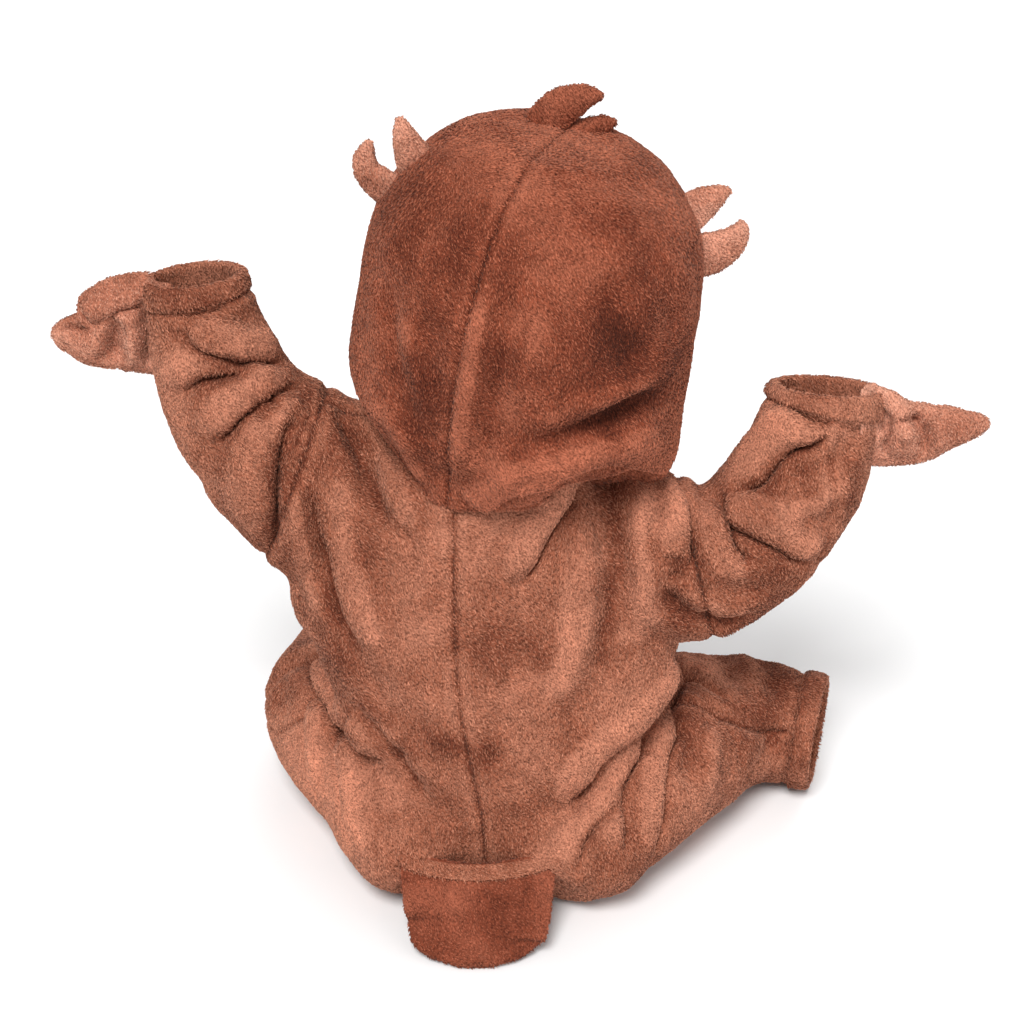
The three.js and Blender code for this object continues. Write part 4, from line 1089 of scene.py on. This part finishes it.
bare_body = bvh_of(plain_body, body_faces)
HOOD_FIELDS = {
    "centre": lambda p: (p - HOOD_CENTRE) @ hood_side,
    "face": face_field,
    "clear": lambda p: np.minimum(signed_distance(bare_body, p) + HOOD_CLEAR + TUCK_CLEAR * tucked(p),
                                  plane_field(p, NECK_PLANE) + NECK_REACH),
}
hood_skin, hood_at = cut_lines(hood_skin, hood_edges, HOOD_FIELDS)
hood_faces = split_across(hood_faces, list(hood_at.values()))
hood_normals = vertex_normals(hood_skin, hood_faces)
press, slide = crease_depth(hood_skin, hood_normals, hood_faces, HOOD_CREASES)
# how much paler each point is painted: brushed nap, with painted shade in troughs and painted light on
# ridges
hood_nap_and_shade = nap_and_painted_shade(hood_skin, hood_normals, press)
press += seam_press(hood_at["centre"], HOOD_PRESS)
# painted shade in the hood's centre seam and painted light beside it
hood_nap_and_shade += seam_painted_shade_and_light(hood_at["centre"])
press += TUCK * tucked(hood_skin)
press += swells(hood_skin, HOOD_SWELLS)
hood_skin = hood_skin - hood_normals * press[:, None] + slide
hood_skin = relax(hood_skin, hood_edges, *SETTLED)
side = {key: face_side(hood_faces, field) for key, field in hood_at.items()}
shown = side["face"] & side["clear"]
for node, keep in (("hood_left", shown & ~side["centre"]), ("hood_right", shown & side["centre"])):
    made[node] = panel(node, hood_skin, hood_faces, keep, HOOD_LOOK, hood_nap_and_shade)


# ---- turned edges
# distance along the limb and height of the band's first points, where it comes out of the cloth
EDGE_START = [(-TONGUE, -3.9), (0.3, -2.6), (0.7, -1.0), (1.8, -0.1)]
EDGE_FLAT_FROM, EDGE_FULL = 3.0, 0.5     # where its flat part starts, how much that swells
LIP_TURNS = [25, 50, 75, 105, 130, 155]  # degrees round the lip
EDGE_AROUND = 110             # points round the limb


def turned_edge(name, node, rows, flat, share, length, floor):
    """A band turned over the open end of a sleeve or leg: a closed ring with a rounded lip."""
    sections = smooth_rows(rows, EDGE_SECTIONS)
    steps = np.linalg.norm(np.diff(sections[:, :3], axis=0), axis=1)
    travel = np.concatenate([[0], np.cumsum(steps)])
    travel -= travel[round(share * (EDGE_SECTIONS - 1))]
    proud, lip = EDGE_PROUD, EDGE_THICK / 2
    outline = [(s, proud + rise) for s, rise in EDGE_START]
    flat_part = np.linspace(EDGE_FLAT_FROM, length - lip, 5)
    outline += [(s, proud + EDGE_FULL * math.sin(math.pi * s / length)) for s in flat_part]
    for turn in np.radians(LIP_TURNS):
        outline.append((length - lip + lip * math.sin(turn), proud - lip + lip * math.cos(turn)))
    outline += [(s, proud - EDGE_THICK) for s in np.linspace(length - lip, -TONGUE, 5)]
    along, out = np.array(outline).T
    values = np.hstack([sections, *limb_frames(sections, flat)])
    at = np.stack([np.interp(along, travel, column) for column in values.T], -1)
    around = int(EDGE_AROUND * detail)
    rings = []
    for turn in np.arange(around) / around * 2 * math.pi:
        c, s = math.cos(turn), math.sin(turn)
        reach = out + EDGE_WAVE * noise.noise(Vector((2.2 * c, 2.2 * s, share * 7)))
        across = at[:, 5:8] * ((at[:, 3] + reach) * c)[:, None]
        through = at[:, 8:] * ((at[:, 4] + reach) * s)[:, None]
        rings.append(at[:, :3] + across + through)
    points = np.vstack(rings)
    if floor is not None:
        points[:, 2] = np.maximum(points[:, 2], floor)
    n = len(outline)
    faces = []
    for j in range(around):
        here, onward = j * n, (j + 1) % around * n
        for k in range(n):
            up = (k + 1) % n
            faces.append((here + k, here + up, onward + up, onward + k))
    obj = new_mesh_object(name, points, faces)
    pile(name, points, faces, BODY_LOOK, facing=-1)
    return finish_piece(obj, BODY_LOOK, node)


EDGES = {
    "edge_cuff_left": ("cuff_left", SLEEVE_LEFT, FORWARD, CUFF_AT, CUFF_LENGTH, None),
    "edge_cuff_right": ("cuff_right", SLEEVE_RIGHT, FORWARD, CUFF_AT, CUFF_LENGTH, None),
    "edge_leg_left": ("leg_hem_left", LEG_LEFT, UP, HEM_AT, LEG_HEM_LENGTH, OFF_FLOOR),
    "edge_leg_right": ("leg_hem_right", LEG_RIGHT, UP, HEM_AT, LEG_HEM_LENGTH, OFF_FLOOR),
}
for name, (node, *where) in EDGES.items():
    made[node] = turned_edge(name, node, *where)


# ---- stuffed pieces
SAG_OVER = 26, 50             # heights between which it starts and is full


def sag(x, z):
    """How far the tail's upper edge hangs down, most in the middle."""
    return TAIL_SAG * np.clip(1 - (x / TAIL_HALF_WIDTH) ** 2, 0, 1) * smoothstep(z, *SAG_OVER)


def sewn_to(points, rows):
    """Points that would lie inside a sleeve, brought to its cloth instead."""
    end, before = np.array(rows[-1], float), np.array(rows[-2], float)
    onward = (*(end[:3] + 3 * (end[:3] - before[:3])), *end[3:])
    skin, faces = form([*rows, onward], 70, 48, FORWARD)
    tree = bvh_of(skin, faces)
    gap = signed_distance(tree, points)
    moved = points.copy()
    for i in np.nonzero(gap < 0)[0]:
        near, normal, _, _ = tree.find_nearest(Vector(points[i]))
        moved[i] = np.array(near - normal * 1.0)
    return moved


def stuffed(name, node, rows, flat, look, power=2.0, floor=None, creases=None, rim=0.8,
            count=60, around=96, sleeve=None):
    """A padded feather, wing tip or tail, with the seam of its edge drawn in."""
    points, faces = form(rows, int(count * detail), int(around * detail), flat, power, floor)
    ring_size = int(around * detail)
    turn = np.arange(len(points)) % ring_size / ring_size * 2 * math.pi
    normals = vertex_normals(points, faces)
    press, slide = crease_depth(points, normals, faces, creases or {})
    press += hill(np.sin(turn), 0, RIM_WIDTH, rim)
    press += swells(points, STUFFED_SWELLS)
    press[-2:] = 0
    inward = np.sign(((points - points.mean(0)) * normals).sum(1).mean())
    points = points - inward * normals * press[:, None] + slide
    if sleeve is not None:
        points = sewn_to(points, sleeve)
    if node == "tail":
        points[:, 2] -= sag(points[:, 0], points[:, 2])
    if floor is not None:
        points[:, 2] = np.maximum(points[:, 2], OFF_FLOOR)
    obj = new_mesh_object(name, points, faces)
    obj = finish_piece(obj, look, node)
    pile(name, points, faces, look, length=STUFFED_TUFT_LENGTH, facing=inward)
    return obj


for node, rows in FEATHERS.items():
    look = HOOD_LOOK if node.startswith("crest") else PALE_LOOK
    made[node] = stuffed("plush_" + node, node, rows, FORWARD, look, count=30, around=28, rim=0.5)
WINGS = {"wing_left": (WING_LEFT, SLEEVE_LEFT), "wing_right": (WING_RIGHT, SLEEVE_RIGHT)}
for node, (rows, sleeve) in WINGS.items():
    made[node] = stuffed("plush_" + node, node, rows, FORWARD, PALE_LOOK, creases=WING_CREASES,
                         sleeve=sleeve)
made["tail"] = stuffed("plush_tail_piece", "tail", TAIL, UP, TAIL_LOOK, power=2.4, floor=0,
                       creases=TAIL_CREASES, rim=0.5, count=64, around=120)


# ---- strips on the cloth
body_tree = bvh_of(body, body_faces)
tail_skin = np.array([v.co for v in made["tail"].data.vertices]) / MM + NECK
tail_faces = [tuple(k + len(body) for k in polygon.vertices) for polygon in made["tail"].data.polygons]
seat_tree = bvh_of(np.vstack([body, tail_skin]), list(body_faces) + tail_faces)


def strip(name, node, lines, way, thick, tree):
    """A rounded strip laid on the cloth: rows of points are cast on to it along way."""
    way, grid = np.array(way, float), np.array(lines, float)
    rows_n, cols_n = grid.shape[:2]
    laid = [tree.ray_cast(Vector(p - CAST_FROM * way), Vector(way))[0] for p in grid.reshape(-1, 3)]
    across = np.repeat(np.linspace(-1, 1, rows_n), cols_n)
    bulge = thick * np.sqrt(np.maximum(1 - np.abs(across) ** STRIP_SQUARE, 0))
    top = np.array(laid) - way * (STRIP_PROUD + bulge)[:, None]
    points = np.vstack([top, np.array(laid) + STRIP_SUNK * way])
    half = rows_n * cols_n
    starts = [j * cols_n + i for j in range(rows_n - 1) for i in range(cols_n - 1)]
    outer = [(a, a + 1, a + cols_n + 1, a + cols_n) for a in starts]
    faces = outer + [tuple(k + half for k in reversed(face)) for face in outer]
    pile(name, top, outer, BODY_LOOK)
    last = (rows_n - 1) * cols_n
    rim = [*range(cols_n), *range(2 * cols_n - 1, half, cols_n)]
    rim += [*range(half - 2, last - 1, -1), *range(last - cols_n, 0, -cols_n)]
    for a, b in zip(rim, rim[1:] + rim[:1]):
        faces.append((a, a + half, b + half, b))
    return finish_piece(new_mesh_object(name, points, faces), BODY_LOOK, node)


welt_columns = np.linspace(WELT_LEFT, WELT_RIGHT, 60)
welt_rows = np.linspace(WELT_LOW, WELT_HIGH, 9)
welt_lines = [[(x, 0.0, z - sag(x, z)) for x in welt_columns] for z in welt_rows]
placket_columns = PLACKET_MIDDLE + PLACKET_HALF_WIDTH * np.linspace(-1, 1, 11)
placket_rows = np.linspace(PLACKET_LOW, PLACKET_HIGH, 60)
placket_lines = [[(x, 0.0, z) for z in placket_rows] for x in placket_columns]
made["tail_welt"] = strip("strip_tail_welt", "tail_welt", welt_lines, (0, 1, 0), WELT_THICK, seat_tree)
made["front_placket"] = strip("strip_placket", "front_placket", placket_lines, (0, -1, 0), PLACKET_THICK,
                              body_tree)


# ---- buttons
def button(node):
    """A round button with a raised rim, set where the frame's disc is."""
    low, high = (np.array(v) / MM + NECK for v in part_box(node))
    centre = (low + high) / 2
    facing = np.array(body_tree.find_nearest(Vector(centre))[1])
    across = unit(np.cross(facing, UP))
    upward = np.cross(across, facing)
    turn = np.arange(BUTTON_AROUND)[:, None] / BUTTON_AROUND * 2 * math.pi
    spoke = across * np.cos(turn) + upward * np.sin(turn)
    rings = [centre + r * spoke + h * facing for r, h in BUTTON_PROFILE]
    poles = [centre + h * facing for h in BUTTON_POLES]
    faces = ring_faces(len(BUTTON_PROFILE), BUTTON_AROUND)
    obj = new_mesh_object("moulded_" + node, np.vstack([*rings, *poles]), faces)
    return finish_piece(obj, BUTTON_LOOK, node)


for k in range(1, BUTTON_COUNT + 1):
    made[f"button_{k}"] = button(f"button_{k}")


# ---- stage
# where each wide soft light comes from, its strength and its spread in degrees
LIGHTS = {
    "key": ((-0.3, -1.2, 1.6), 2.8, 24),
    "fill": ((1.6, -1.2, 0.7), 0.7, 50),
    "rim": ((0.4, 1.4, 1.2), 0.7, 50),
}
for name, (place, strength, spread) in LIGHTS.items():
    data = bpy.data.lights.new(name, "SUN")
    data.energy = strength
    data.angle = math.radians(spread)
    light = bpy.data.objects.new(name, data)
    bpy.context.scene.collection.objects.link(light)
    light.location = place
    light.rotation_euler = (-Vector(place)).to_track_quat("-Z", "Y").to_euler()

corners = [(-1, -1), (1, -1), (1, 1), (-1, 1)]
floor_mesh = bpy.data.meshes.new("floor")
floor_corners = [(FLOOR_REACH * x, FLOOR_REACH * y, -NECK[2] * MM) for x, y in corners]
floor_mesh.from_pydata(floor_corners, [], [(0, 1, 2, 3)])
floor = bpy.data.objects.new("floor", floor_mesh)
bpy.context.scene.collection.objects.link(floor)
floor.data.materials.append(moulded("floor_pale", (0.93, 0.93, 0.93), 0.9))

scene = bpy.context.scene
world = bpy.data.worlds.new("studio")
scene.world = world
world.use_nodes = True
background = world.node_tree.nodes["Background"]
set_inputs(world.node_tree, background, {"Color": (1, 1, 1, 1), "Strength": WORLD_STRENGTH})
scene.view_settings.view_transform = "Standard"

camera_data = bpy.data.cameras.new("camera")
camera_data.lens = LENS_MM
camera_data.sensor_width = SENSOR_MM
camera = bpy.data.objects.new("camera", camera_data)
scene.collection.objects.link(camera)
camera.location = (CAMERA_AT - NECK) * MM
camera.rotation_euler = (math.pi / 2 - CAMERA_RISE, 0, 0)
scene.camera = camera
